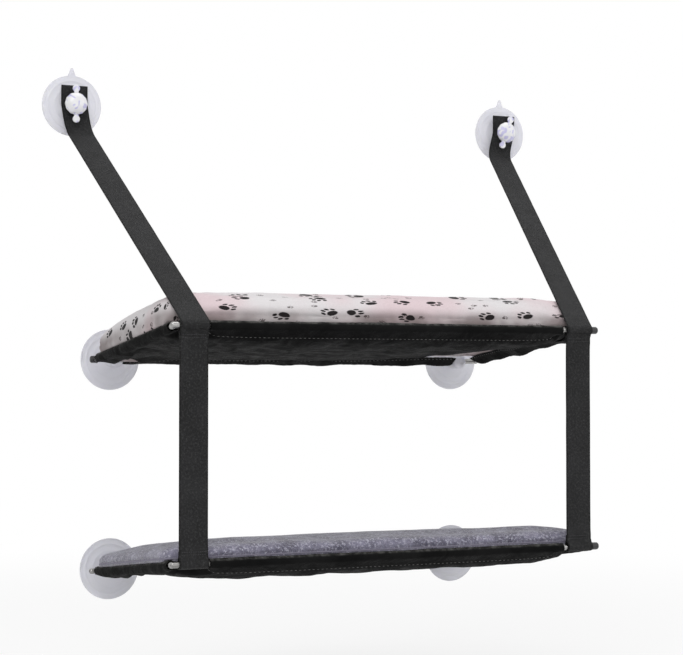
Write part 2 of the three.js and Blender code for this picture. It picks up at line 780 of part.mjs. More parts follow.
// One tier, in a frame whose origin is the middle of the back rod's axis and whose -Y runs to the front rod.
function tier(level, height, form, underHangers, look, backCapSide) {
  const group = new THREE.Group();
  group.position.set(0, -rodStandoff, height);
  group.rotation.x = -tierTilt;
  const back = new THREE.Group();
  back.add(longRod(level + "_back_rod", -backCapSide));
  back.add(endCap(level + "_back_rod_cap", -backCapSide));
  if (backCapSide < 0) back.rotation.z = Math.PI;
  const front = new THREE.Group();
  front.position.y = -tierDepth;
  front.add(longRod(level + "_front_rod", 1));
  front.add(endCap(level + "_front_rod_cap", 1));
  group.add(back, front);
  group.add(sideRod(level + "_left_rod", -sideRodX));
  group.add(sideRod(level + "_right_rod", sideRodX));
  group.add(meshFrom(level + "_sling", slingSolid(), slingCloth));
  group.add(mat(level + "_mat", form, underHangers, look));
  return group;
}

// Top cup with its stud, eyelet and thumb nut, round an axis through the cup's centre.
function topAnchor(sideName, x) {
  const group = new THREE.Group();
  group.position.set(x, 0, hangerRise);
  group.add(topCup(sideName + "_top_cup"));
  group.add(stud(sideName + "_stud"));
  group.add(eyelet(sideName + "_eyelet"));
  group.add(thumbNut(sideName + "_thumb_nut"));
  return group;
}

const hammock = new THREE.Group();
hammock.add(tier("upper", 0, upperMat, true, printedPlush, -1));
hammock.add(tier("lower", -tierSpacing, lowerMat, false, greyFleece, 1));
for (const [sideName, side] of [
  ["left", -1],
  ["right", 1],
]) {
  const topX = (side * topCupSpacing) / 2 + topCupShift;
  const strapX = (side * strapSpacing) / 2;
  hammock.add(topAnchor(sideName, topX));
  hammock.add(hangerStrap(sideName + "_hanger_strap", topX, strapX));
  hammock.add(dropStrap(sideName + "_drop_strap", strapX));
  hammock.add(backCup("upper_" + sideName + "_cup", side, 0));
  hammock.add(backCup("lower_" + sideName + "_cup", side, -tierSpacing));
}

export default hammock;
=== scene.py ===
"""Dresses the two-tier window hammock, in metres: cloth, webbing, mats, clear cups and steel rods.

The glass is the plane Y = 0, the room lies at -Y, Z is up, and X runs along the window.
"""

import json
import math

import bpy
from mathutils import Matrix, Vector, noise
from mathutils.bvhtree import BVHTree

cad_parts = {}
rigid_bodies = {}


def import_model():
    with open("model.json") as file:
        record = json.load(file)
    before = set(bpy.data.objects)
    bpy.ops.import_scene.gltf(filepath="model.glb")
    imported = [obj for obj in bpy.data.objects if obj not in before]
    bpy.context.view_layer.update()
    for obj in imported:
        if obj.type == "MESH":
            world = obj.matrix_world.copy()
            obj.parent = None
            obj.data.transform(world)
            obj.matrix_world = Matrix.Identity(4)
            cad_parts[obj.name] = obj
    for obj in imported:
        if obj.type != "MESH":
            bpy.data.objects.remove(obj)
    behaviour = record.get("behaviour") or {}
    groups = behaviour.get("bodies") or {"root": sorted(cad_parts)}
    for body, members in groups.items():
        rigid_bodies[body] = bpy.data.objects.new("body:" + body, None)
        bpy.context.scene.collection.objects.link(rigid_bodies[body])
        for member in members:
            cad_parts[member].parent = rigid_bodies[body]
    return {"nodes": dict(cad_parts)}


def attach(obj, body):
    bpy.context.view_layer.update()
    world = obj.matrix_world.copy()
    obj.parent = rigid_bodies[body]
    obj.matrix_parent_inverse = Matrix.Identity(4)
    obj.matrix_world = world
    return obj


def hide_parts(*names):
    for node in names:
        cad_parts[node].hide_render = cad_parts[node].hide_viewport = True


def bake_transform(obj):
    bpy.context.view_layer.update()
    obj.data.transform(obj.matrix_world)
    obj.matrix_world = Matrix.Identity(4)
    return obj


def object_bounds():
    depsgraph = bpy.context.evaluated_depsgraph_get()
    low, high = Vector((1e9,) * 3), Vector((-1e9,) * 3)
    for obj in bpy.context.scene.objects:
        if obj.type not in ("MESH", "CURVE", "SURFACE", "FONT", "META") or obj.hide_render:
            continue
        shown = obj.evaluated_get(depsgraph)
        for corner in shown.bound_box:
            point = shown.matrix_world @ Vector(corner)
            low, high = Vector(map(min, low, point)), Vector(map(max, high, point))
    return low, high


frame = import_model()
cad_low, cad_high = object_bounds()

# Sizes, in metres, as in the part's source
MM = 0.001
TIER_DEPTH = 345 * MM
TILT = math.radians(6.7)
TIER_SPACING = 303 * MM
HANGER_RISE = 367 * MM
TOP_SHIFT = 16 * MM
ROD_LENGTH = 636 * MM
ROD_RADIUS = 4 * MM
ROD_WALL = 1 * MM
CAP_RADIUS = 5.2 * MM
ROD_STANDOFF = 24 * MM
SIDE_X = ROD_LENGTH / 2 - 7 * MM
STRAP_X = ROD_LENGTH / 2 - 31.5 * MM
CUP_X = ROD_LENGTH / 2 - 37 * MM
TOP_CUP_X = ROD_LENGTH / 2 + 38 * MM
WEB_WIDTH = 40 * MM
WEB_THICK = 1.8 * MM
LOOP_RADIUS = 6.4 * MM
HANGER_WRAP = LOOP_RADIUS + 1.2 * MM
HANGER_BEND = 35 * MM
HANGER_FLAT = 20 * MM
HANGER_SEAT = 14.6 * MM
SLEEVE_RADIUS = 5.5 * MM
SEAM = 18 * MM
FRONT_CORNER = (62 * MM, 52 * MM)
SIDE_FRONT = 17 * MM
SIDE_BACK = 20 * MM
FRONT_Y = -ROD_STANDOFF - TIER_DEPTH * math.cos(TILT)
FRONT_Z = TIER_DEPTH * math.sin(TILT)
LEVELS = {"upper": 0.0, "lower": -TIER_SPACING}
SIDES = {"left": -1, "right": 1}


# Working tools
def only(piece):
    """Selects and activates one piece, with everything else deselected."""
    for other in bpy.context.view_layer.objects:
        other.select_set(False)
    piece.select_set(True)
    bpy.context.view_layer.objects.active = piece


def drawn(name, points, edges=(), faces=()):
    """A new piece from points, edges and faces."""
    mesh = bpy.data.meshes.new(name)
    mesh.from_pydata(points, edges, faces)
    mesh.update()
    piece = bpy.data.objects.new(name, mesh)
    bpy.context.scene.collection.objects.link(piece)
    return piece


def finished(piece, kind, **settings):
    """Adds one modifier and applies it."""
    only(piece)
    modifier = piece.modifiers.new(kind.title(), kind)
    for key, value in settings.items():
        setattr(modifier, key, value)
    bpy.ops.object.modifier_apply(modifier=modifier.name)
    return piece


def combined(piece, other, operation):
    """Joins another solid to a piece, or cuts it away, and uses the other up."""
    modifier = piece.modifiers.new("Combined", "BOOLEAN")
    modifier.operation = operation
    modifier.object = other
    only(piece)
    bpy.ops.object.modifier_apply(modifier=modifier.name)
    bpy.data.objects.remove(other)
    return piece


def faced_out(piece):
    """Turns a piece's faces outwards."""
    only(piece)
    bpy.ops.object.mode_set(mode="EDIT")
    bpy.ops.mesh.select_all(action="SELECT")
    bpy.ops.mesh.normals_make_consistent(inside=False)
    bpy.ops.object.mode_set(mode="OBJECT")
    return piece


def smoothed(piece, angle=40):
    """Shades a piece smooth, but for edges sharper than the angle in degrees."""
    only(piece)
    bpy.ops.object.shade_smooth_by_angle(angle=math.radians(angle))
    return piece


def placed(piece, matrix):
    """Puts the piece's place into its mesh, so that its object stays at the origin."""
    piece.data.transform(matrix)
    piece.data.update()
    return piece


def joined(name, pieces):
    """Makes one piece of several, without merging their solids."""
    only(pieces[0])
    for piece in pieces[1:]:
        piece.select_set(True)
    bpy.ops.object.join()
    pieces[0].name = name
    return pieces[0]


def spun(name, outline, axis, steps):
    """Spins an outline of (radius, place along the axis) into a closed round body."""
    along = Vector(axis)
    out = Vector((0, 0, 1))
    points = [out * r + along * h for r, h in outline]
    edges = [(i, i + 1) for i in range(len(points) - 1)]
    if outline[0][0] > 0:
        edges.append((len(points) - 1, 0))
    piece = drawn(name, points, edges)
    only(piece)
    bpy.ops.object.mode_set(mode="EDIT")
    bpy.ops.mesh.select_all(action="SELECT")
    bpy.ops.mesh.spin(steps=steps, angle=2 * math.pi, center=(0, 0, 0), axis=axis)
    bpy.ops.mesh.select_all(action="SELECT")
    bpy.ops.mesh.remove_doubles(threshold=1e-6)
    bpy.ops.mesh.normals_make_consistent(inside=False)
    bpy.ops.object.mode_set(mode="OBJECT")
    return piece


def tube_along(path, half_width, half_height, ring, closed=False):
    """Points and faces of a tube through the places of a path, level across; an open one has shut ends."""
    count = len(path)
    points, faces = [], []
    for i, p in enumerate(path):
        if closed:
            way = (path[(i + 1) % count] - path[i - 1]).normalized()
        else:
            way = (path[min(count - 1, i + 1)] - path[max(0, i - 1)]).normalized()
        side = way.cross(Vector((0, 0, 1))).normalized()
        rise = side.cross(way).normalized()
        for k in range(ring):
            turn = 2 * math.pi * k / ring
            across = side * (half_width * math.cos(turn))
            points.append(p + across + rise * (half_height * math.sin(turn)))
    for i in range(count if closed else count - 1):
        here, onward = i * ring, (i + 1) % count * ring
        for k in range(ring):
            beside = (k + 1) % ring
            faces.append((here + k, here + beside, onward + beside, onward + k))
    if not closed:
        faces.append(tuple(range(ring))[::-1])
        faces.append(tuple(len(points) - ring + k for k in range(ring)))
    return points, faces


def give_uv(piece, name, place):
    """Writes a UV map from each vertex's own (u, v)."""
    layer = piece.data.uv_layers.new(name=name)
    spots = [place(v.co) for v in piece.data.vertices]
    for loop in piece.data.loops:
        layer.data[loop.index].uv = spots[loop.vertex_index]


def grid_faces(wide, deep, first=0, loop_round=False):
    """Quads over a grid of wide by deep points; loop_round joins the last row to the first."""
    faces = []
    rows = deep if loop_round else deep - 1
    for j in range(rows):
        for i in range(wide - 1):
            a = first + j * wide + i
            b = first + ((j + 1) % deep) * wide + i
            faces.append((a, a + 1, b + 1, b))
    return faces


def ripple(x, y, z, scale):
    """Smooth unevenness between -1 and 1, whose bumps are about as wide as the scale."""
    return noise.noise(Vector((x / scale, y / scale, z / scale)))


def smoothstep(low, high, value):
    """0 at low and 1 at high, with a soft start and end; low may be the larger one."""
    t = max(0.0, min(1.0, (value - low) / (high - low)))
    return t * t * (3 - 2 * t)


# Finishes
def finish_of(name):
    """A new material, with its node tree and its shader."""
    material = bpy.data.materials.new(name)
    material.use_nodes = True
    tree = material.node_tree
    shader = tree.nodes["Principled BSDF"]
    return material, tree, shader


def add(tree, kind, **settings):
    """Adds a node; a setting named in_X is the value of its socket X."""
    made = tree.nodes.new(kind)
    for key, value in settings.items():
        if key.startswith("in_"):
            made.inputs[key[3:].replace("_", " ")].default_value = value
        else:
            setattr(made, key, value)
    return made


def math_of(tree, operation, a, b=None):
    made = tree.nodes.new("ShaderNodeMath")
    made.operation = operation
    for socket, value in zip(made.inputs, (a, b)):
        if value is None:
            continue
        if isinstance(value, (int, float)):
            socket.default_value = value
        else:
            tree.links.new(value, socket)
    return made.outputs[0]


def vector_of(tree, operation, a, b=None):
    made = tree.nodes.new("ShaderNodeVectorMath")
    made.operation = operation
    for socket, value in zip(made.inputs, (a, b)):
        if value is None:
            continue
        if isinstance(value, tuple):
            socket.default_value = value
        else:
            tree.links.new(value, socket)
    return made.outputs["Value" if operation == "LENGTH" else "Vector"]


def noise_of(tree, where, scale, detail=3.0, rough=0.55):
    made = add(tree, "ShaderNodeTexNoise", in_Scale=scale, in_Detail=detail, in_Roughness=rough)
    tree.links.new(where, made.inputs["Vector"])
    return made.outputs["Fac"]


def swirled(tree, where, scale, detail, rough, distortion):
    """Noise drawn out into curls."""
    made = add(tree, "ShaderNodeTexNoise", in_Scale=scale, in_Detail=detail, in_Roughness=rough)
    made.inputs["Distortion"].default_value = distortion
    tree.links.new(where, made.inputs["Vector"])
    return made.outputs["Fac"]


def span(tree, value, low, high, to_low=0.0, to_high=1.0):
    """Maps low to high smoothly onto the second pair of numbers."""
    made = add(tree, "ShaderNodeMapRange")
    made.interpolation_type = "SMOOTHSTEP"
    tree.links.new(value, made.inputs["Value"])
    for name, number in (("From Min", low), ("From Max", high), ("To Min", to_low), ("To Max", to_high)):
        made.inputs[name].default_value = number
    return made.outputs["Result"]


def blend_colours(tree, factor, first, second):
    made = tree.nodes.new("ShaderNodeMix")
    made.data_type = "RGBA"
    tree.links.new(factor, made.inputs["Factor"])
    for socket, value in ((made.inputs[6], first), (made.inputs[7], second)):
        if isinstance(value, tuple):
            socket.default_value = (*value, 1.0)
        else:
            tree.links.new(value, socket)
    return made.outputs[2]


def object_place(tree):
    return add(tree, "ShaderNodeTexCoord").outputs["Object"]


def uv_place(tree, name):
    return add(tree, "ShaderNodeUVMap", uv_map=name).outputs["UV"]


def bump(tree, shader, height, depth, strength=1.0):
    """Relief of the given depth in metres."""
    made = add(tree, "ShaderNodeBump", in_Strength=strength, in_Distance=depth)
    tree.links.new(height, made.inputs["Height"])
    tree.links.new(made.outputs["Normal"], shader.inputs["Normal"])


def settings_on(shader, **values):
    for key, value in values.items():
        shader.inputs[key.replace("_", " ")].default_value = value


def clear_cup_plastic():
    """Soft clear plastic: pale, faintly lavender grey, cloudy, with a film of rubbed dust."""
    material, tree, shader = finish_of("clear_cup_plastic")
    where = object_place(tree)
    cloud = noise_of(tree, where, 22.0, 3.0)
    tint = blend_colours(tree, cloud, (0.79, 0.79, 0.86), (0.86, 0.86, 0.90))
    tree.links.new(tint, shader.inputs["Base Color"])
    dust = noise_of(tree, where, 190.0, 4.0, 0.7)
    tree.links.new(span(tree, dust, 0.35, 0.75, 0.10, 0.26), shader.inputs["Roughness"])
    bump(tree, shader, noise_of(tree, where, 60.0, 2.0), 0.0003, 0.2)
    settings_on(shader, IOR=1.42, Transmission_Weight=0.35, Specular_IOR_Level=0.4)
    shader.inputs["Subsurface Weight"].default_value = 0.15
    shader.inputs["Subsurface Radius"].default_value = (0.004, 0.004, 0.005)
    return material


def clear_knob_plastic():
    """Hard clear plastic, near white with light, with pale violet-blue glints painted into its colour as
    swirled streaks, and ribs in its relief.
    """
    material, tree, shader = finish_of("clear_knob_plastic")
    where = object_place(tree)
    # Painted glints: violet-blue streaks in the base colour stand in for light caught inside the knob.
    rib = swirled(tree, where, 105.0, 0.0, 0.4, 1.1)
    painted_glint = span(tree, rib, 0.49, 0.62, 0.0, 0.65)
    tint = blend_colours(tree, painted_glint, (0.97, 0.97, 0.98), (0.50, 0.47, 0.90))
    tree.links.new(tint, shader.inputs["Base Color"])
    scuff = noise_of(tree, where, 240.0, 3.0)
    tree.links.new(span(tree, scuff, 0.4, 0.8, 0.03, 0.16), shader.inputs["Roughness"])
    bump(tree, shader, rib, 0.0004, 0.12)
    settings_on(shader, IOR=1.5, Transmission_Weight=0.30, Coat_Weight=0.6, Coat_Roughness=0.04)
    return material


def bright_steel():
    """Drawn steel tube, with fine lines along it and a few dull rubs."""
    material, tree, shader = finish_of("bright_steel")
    where = object_place(tree)
    stretch = add(tree, "ShaderNodeMapping")
    stretch.inputs["Scale"].default_value = (30.0, 900.0, 900.0)
    tree.links.new(where, stretch.inputs["Vector"])
    lines = noise_of(tree, stretch.outputs["Vector"], 1.0, 2.0)
    rub = noise_of(tree, where, 60.0, 4.0, 0.65)
    tint = blend_colours(tree, span(tree, rub, 0.35, 0.75), (0.36, 0.355, 0.35), (0.20, 0.195, 0.19))
    tree.links.new(tint, shader.inputs["Base Color"])
    worn = math_of(tree, "ADD", span(tree, lines, 0.3, 0.7, 0.20, 0.30), span(tree, rub, 0.5, 0.85, 0.0, 0.2))
    tree.links.new(worn, shader.inputs["Roughness"])
    bump(tree, shader, lines, 0.00006, 0.4)
    settings_on(shader, Metallic=1.0)
    return material


def black_moulding():
    """Black moulded plastic with a fine grain, paler where it is rubbed."""
    material, tree, shader = finish_of("black_moulding")
    where = object_place(tree)
    grain = noise_of(tree, where, 900.0, 3.0)
    rub = noise_of(tree, where, 85.0, 4.0, 0.7)
    tint = blend_colours(tree, span(tree, rub, 0.5, 0.8), (0.011, 0.011, 0.012), (0.035, 0.035, 0.037))
    tree.links.new(tint, shader.inputs["Base Color"])
    tree.links.new(span(tree, rub, 0.3, 0.8, 0.34, 0.55), shader.inputs["Roughness"])
    bump(tree, shader, grain, 0.00008, 0.5)
    return material


def weave_height(tree, where, across, along):
    """Height of a plain weave whose threads lie the given metres apart, 0 to 1."""
    parts = add(tree, "ShaderNodeSeparateXYZ")
    tree.links.new(where, parts.inputs[0])
    u = math_of(tree, "MULTIPLY", parts.outputs[0], math.pi / across)
    v = math_of(tree, "MULTIPLY", parts.outputs[1], math.pi / along)
    su, sv = math_of(tree, "SINE", u), math_of(tree, "SINE", v)
    ridge = math_of(tree, "MULTIPLY", su, sv)
    cross = math_of(tree, "MULTIPLY", math_of(tree, "COSINE", u), math_of(tree, "COSINE", v))
    return math_of(tree, "MAXIMUM", math_of(tree, "ABSOLUTE", ridge), math_of(tree, "ABSOLUTE", cross))


def black_webbing():
    """Charcoal nylon webbing: woven ribs across, darker bands along both edges, lint and a rubbed bloom."""
    material, tree, shader = finish_of("black_webbing")
    where = uv_place(tree, "strap")
    weave = weave_height(tree, where, 0.0016, 0.0011)
    parts = add(tree, "ShaderNodeSeparateXYZ")
    tree.links.new(where, parts.inputs[0])
    edge = span(tree, math_of(tree, "ABSOLUTE", parts.outputs[0]), 0.0172, 0.0186)
    solid = object_place(tree)
    lint = span(tree, noise_of(tree, solid, 340.0, 4.0, 0.75), 0.46, 0.70)
    bloom = span(tree, noise_of(tree, solid, 28.0, 4.0, 0.6), 0.3, 0.75)
    base = blend_colours(tree, bloom, (0.017, 0.017, 0.018), (0.031, 0.031, 0.033))
    woven = blend_colours(tree, span(tree, weave, 0.3, 0.95), (0.012, 0.012, 0.012), base)
    edged = blend_colours(tree, math_of(tree, "MULTIPLY", edge, 0.85), woven, (0.004, 0.004, 0.004))
    dusty = blend_colours(tree, math_of(tree, "MULTIPLY", lint, 0.36), edged, (0.085, 0.085, 0.085))
    tree.links.new(dusty, shader.inputs["Base Color"])
    tree.links.new(span(tree, weave, 0.2, 0.9, 0.85, 0.62), shader.inputs["Roughness"])
    bump(tree, shader, weave, 0.0005, 0.8)
    settings_on(shader, Sheen_Weight=0.05, Sheen_Roughness=0.45, Specular_IOR_Level=0.12)
    return material


def black_cloth():
    """Near-black coated cloth: coarse weave, soft creases, a little pale dust on the folds, and a painted
    highlight along the sleeves' ridges.
    """
    material, tree, shader = finish_of("black_cloth")
    where = object_place(tree)
    weave = weave_height(tree, where, 0.0014, 0.0014)
    fuzz = noise_of(tree, where, 900.0, 3.0, 0.7)
    crease = swirled(tree, where, 34.0, 5.0, 0.62, 1.4)
    patch = span(tree, noise_of(tree, where, 11.0, 3.0), 0.3, 0.75)
    base = blend_colours(tree, patch, (0.0036, 0.0037, 0.0037), (0.0080, 0.0080, 0.0080))
    dust = math_of(tree, "MULTIPLY", span(tree, fuzz, 0.60, 0.80), 0.10)
    dusted = blend_colours(tree, dust, base, (0.085, 0.085, 0.082))
    # Painted highlight: the rub attribute and the rubbed noise lay a pale band along the top of each sleeve,
    # over its rod.
    rub = add(tree, "ShaderNodeAttribute", attribute_name="rub")
    rubbed = span(tree, noise_of(tree, where, 70.0, 4.0, 0.7), 0.40, 0.68, 0.10, 0.85)
    highlight_share = math_of(tree, "MULTIPLY", rub.outputs["Fac"], rubbed)
    worn = blend_colours(tree, highlight_share, dusted, (0.115, 0.112, 0.108))
    tree.links.new(worn, shader.inputs["Base Color"])
    tree.links.new(span(tree, crease, 0.3, 0.7, 0.60, 0.88), shader.inputs["Roughness"])
    height = math_of(tree, "ADD", crease, math_of(tree, "MULTIPLY", weave, 0.10))
    bump(tree, shader, height, 0.0035, 0.55)
    settings_on(shader, Specular_IOR_Level=0.05)
    return material


def thread(name, colour):
    """Twisted thread or cord of one colour."""
    material, tree, shader = finish_of(name)
    where = object_place(tree)
    twist = noise_of(tree, where, 2200.0, 2.0)
    dark = tuple(c * 0.55 for c in colour)
    tree.links.new(blend_colours(tree, twist, dark, colour), shader.inputs["Base Color"])
    settings_on(shader, Roughness=0.7)
    bump(tree, shader, twist, 0.0002, 0.5)
    return material


def paw_mask(tree, where, pitch, size, share):
    """Small paw marks, one to a cell, each turned its own way. Returns 0 to 1."""
    cells = add(tree, "ShaderNodeTexVoronoi", voronoi_dimensions="2D", in_Scale=1.0 / pitch)
    cells.inputs["Randomness"].default_value = 0.62
    tree.links.new(where, cells.inputs["Vector"])
    look = add(tree, "ShaderNodeSeparateColor")
    tree.links.new(cells.outputs["Color"], look.inputs[0])
    here = vector_of(tree, "SUBTRACT", where, cells.outputs["Position"])
    turn = add(tree, "ShaderNodeVectorRotate", rotation_type="Z_AXIS")
    tree.links.new(here, turn.inputs["Vector"])
    tree.links.new(math_of(tree, "MULTIPLY", look.outputs[0], 6.283), turn.inputs["Angle"])
    flat = vector_of(tree, "MULTIPLY", turn.outputs["Vector"], (1 / size, 1 / size, 0.0))
    nearest = None
    for centre, radii in (
        ((0.0, -0.30), (0.56, 0.42)),
        ((-0.66, 0.20), (0.17, 0.25)),
        ((-0.24, 0.56), (0.18, 0.27)),
        ((0.24, 0.56), (0.18, 0.27)),
        ((0.66, 0.20), (0.17, 0.25)),
    ):
        off = vector_of(tree, "SUBTRACT", flat, (*centre, 0.0))
        scaled = vector_of(tree, "MULTIPLY", off, (1 / radii[0], 1 / radii[1], 0.0))
        reach = vector_of(tree, "LENGTH", scaled)
        nearest = reach if nearest is None else math_of(tree, "MINIMUM", nearest, reach)
    mark = span(tree, nearest, 0.88, 1.10, 1.0, 0.0)
    chosen = math_of(tree, "LESS_THAN", look.outputs[2], share)
    return math_of(tree, "MULTIPLY", mark, chosen)


def printed_plush():
    """Pinkish white plush with small dark paw marks and specks, and painted shade that greys it low down,
    with a short soft pile.
    """
    material, tree, shader = finish_of("printed_plush")
    flat = uv_place(tree, "cover")
    where = object_place(tree)
    wobble = add(tree, "ShaderNodeTexNoise", in_Scale=420.0, in_Detail=2.0)
    tree.links.new(flat, wobble.inputs["Vector"])
    shift = vector_of(tree, "SUBTRACT", wobble.outputs["Color"], (0.5, 0.5, 0.5))
    furry = vector_of(tree, "ADD", flat, vector_of(tree, "MULTIPLY", shift, (0.0022, 0.0022, 0.0)))
    blush = span(tree, noise_of(tree, where, 9.0, 2.0), 0.38, 0.66)
    base = blend_colours(tree, blush, (0.69, 0.67, 0.68), (0.68, 0.56, 0.585))
    # Painted shade: the cover turns grey-brown towards its seam and underside, made uneven by noise.
    low = add(tree, "ShaderNodeAttribute", attribute_name="low")
    uneven_painted_shade = span(tree, noise_of(tree, where, 14.0, 3.0), 0.36, 0.62, 0.35, 0.85)
    shade = math_of(tree, "MULTIPLY", low.outputs["Fac"], uneven_painted_shade)
    shaded = blend_colours(tree, shade, base, (0.15, 0.12, 0.115))
    pile = noise_of(tree, where, 620.0, 3.0, 0.7)
    parted = math_of(tree, "MULTIPLY", span(tree, pile, 0.3, 0.75), 0.16)
    tufted = blend_colours(tree, parted, shaded, (0.30, 0.25, 0.25))
    paws = paw_mask(tree, furry, 0.060, 0.0165, 0.66)
    specks = paw_mask(tree, vector_of(tree, "ADD", furry, (0.31, 0.17, 0.0)), 0.027, 0.0060, 0.24)
    marked = blend_colours(tree, math_of(tree, "MULTIPLY", specks, 0.85), tufted, (0.040, 0.026, 0.026))
    printed = blend_colours(tree, math_of(tree, "MULTIPLY", paws, 0.98), marked, (0.006, 0.004, 0.0045))
    tree.links.new(printed, shader.inputs["Base Color"])
    nap = noise_of(tree, where, 120.0, 4.0, 0.6)
    height = math_of(tree, "ADD", math_of(tree, "MULTIPLY", pile, 0.35), nap)
    bump(tree, shader, height, 0.0016, 0.5)
    settings_on(shader, Roughness=0.92, Sheen_Weight=0.06, Sheen_Roughness=0.55, Specular_IOR_Level=0.12)
    return material


def grey_fleece():
    """Lavender-grey fleece: mottled long pile, pale tips and darker partings, and painted shade low down."""
    material, tree, shader = finish_of("grey_fleece")
    where = object_place(tree)
    tuft = swirled(tree, where, 280.0, 4.0, 0.70, 0.8)
    parting = span(tree, noise_of(tree, where, 46.0, 4.0, 0.62), 0.32, 0.70)
    base = blend_colours(tree, parting, (0.066, 0.060, 0.100), (0.225, 0.215, 0.300))
    tipped = blend_colours(tree, span(tree, tuft, 0.49, 0.66), base, (0.50, 0.49, 0.59))
    # Painted shade: the fleece darkens towards its seam and underside.
    low = add(tree, "ShaderNodeAttribute", attribute_name="low")
    shade = math_of(tree, "MULTIPLY", low.outputs["Fac"], 0.45)
    shaded = blend_colours(tree, shade, tipped, (0.07, 0.065, 0.09))
    tree.links.new(shaded, shader.inputs["Base Color"])
    lumps = math_of(tree, "MULTIPLY", noise_of(tree, where, 60.0, 4.0, 0.6), 1.3)
    bump(tree, shader, math_of(tree, "ADD", tuft, lumps), 0.0024, 0.7)
    settings_on(shader, Roughness=0.95, Sheen_Weight=0.4, Sheen_Roughness=0.6)
    return material


CUP_PLASTIC = clear_cup_plastic()
KNOB_PLASTIC = clear_knob_plastic()
STEEL = bright_steel()
BLACK_PLASTIC = black_moulding()
WEBBING = black_webbing()
CLOTH = black_cloth()
PLUSH = printed_plush()
FLEECE = grey_fleece()
PALE_THREAD = thread("pale_thread", (0.17, 0.17, 0.165))
DARK_THREAD = thread("dark_thread", (0.07, 0.07, 0.075))
PIPING = thread("piping_cord", (0.24, 0.225, 0.29))


def dress(piece, material, slot, body, *nodes):
    """Gives a piece its finish, hides the CAD nodes that it stands for, and lets it ride; the slot is not
    used.
    """
    piece.data.materials.clear()
    piece.data.materials.append(material)
    if nodes:
        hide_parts(*nodes)
    if body:
        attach(piece, body)
    return piece


# Rods and caps
def tier_matrix(level):
    """From a tier's own frame (X along, -Y out to the front rod, Z up from the rods) to the row's."""
    return Matrix.Translation((0, -ROD_STANDOFF, LEVELS[level])) @ Matrix.Rotation(-TILT, 4, "X")


def long_rod(name):
    """Steel tube with one rolled-in end that leaves a small hole, and one open end under the cap."""
    start, end = -ROD_LENGTH / 2, ROD_LENGTH / 2 - 2.3 * MM
    eye, bore = 1.2 * MM, ROD_RADIUS - ROD_WALL
    outline = [(eye - 0.2 * MM, start + 1.6 * MM), (eye, start + 0.5 * MM)]
    for i in range(1, 9):
        turn = math.pi / 2 * i / 8
        out = eye + (ROD_RADIUS - eye) * math.sin(turn)
        outline.append((out, start + 0.3 * MM + 3.4 * MM * (1 - math.cos(turn))))
    outline += [(ROD_RADIUS, -SIDE_X + 20 * MM), (ROD_RADIUS, SIDE_X - 20 * MM), (ROD_RADIUS, end)]
    outline += [(bore, end), (bore, start + 5 * MM), (eye - 0.2 * MM, start + 1.6 * MM)]
    return smoothed(spun(name, outline, (1, 0, 0), 40))


def end_cap(name):
    """Black cap over a long rod's open end, with a rolled mouth and a domed tip."""
    tip, wall = ROD_LENGTH / 2, CAP_RADIUS - 0.1 * MM
    bore = ROD_RADIUS + 0.25 * MM
    outline = [(0, tip), (0.56 * wall, tip - 0.1 * MM), (0.84 * wall, tip - 0.7 * MM), (wall, tip - 2.2 * MM)]
    outline += [(wall, tip - 8.8 * MM), (wall + 0.3 * MM, tip - 9.4 * MM), (wall + 0.3 * MM, tip - 10.6 * MM)]
    outline += [(wall, tip - 11 * MM), (bore, tip - 11 * MM), (bore, tip - 2 * MM), (0, tip - 2 * MM)]
    return smoothed(spun(name, outline, (1, 0, 0), 40), 50)


def side_rod(name, x):
    """Tube between the long rods, drawn down to a neck at each end."""
    shoulder, neck = CAP_RADIUS + 0.3 * MM, 2.5 * MM
    half = [(1.2 * MM, 1 * MM), (neck - 0.1 * MM, 1 * MM), (neck, 1.6 * MM), (neck, shoulder)]
    half += [(neck + 0.3 * MM, shoulder + 0.5 * MM), (ROD_RADIUS - 0.3 * MM, shoulder + 2.4 * MM)]
    half += [(ROD_RADIUS, shoulder + 3.3 * MM)]
    outline = half + [(r, TIER_DEPTH - y) for r, y in reversed(half)]
    piece = spun(name, outline, (0, 1, 0), 40)
    return placed(smoothed(piece), Matrix.Translation((x, -TIER_DEPTH, 0)))


def rods_of(level):
    body = level + "_tier"
    turned = Matrix.Rotation(math.pi, 4, "Z")
    places = {
        "back": turned if level == "upper" else Matrix.Identity(4),
        "front": Matrix.Translation((0, -TIER_DEPTH, 0)),
    }
    for where, matrix in places.items():
        rod = placed(long_rod(f"{level}_{where}_tube"), tier_matrix(level) @ matrix)
        dress(rod, STEEL, "rod_steel", body, f"{level}_{where}_rod")
        cap = placed(end_cap(f"{level}_{where}_end_cap"), tier_matrix(level) @ matrix)
        dress(cap, BLACK_PLASTIC, "black_plastic", body, f"{level}_{where}_rod_cap")
    for side, sign in SIDES.items():
        rod = placed(side_rod(f"{level}_{side}_tube", sign * SIDE_X), tier_matrix(level))
        dress(rod, STEEL, "rod_steel", body, f"{level}_{side}_rod")


# Suction cups, studs and thumb nuts, whose outlines are written in millimetres
BACK_HUB, TOP_HUB = 34.1, 12.5
STUD_SEAT = 4.2
NUT_SEAT = 17.1


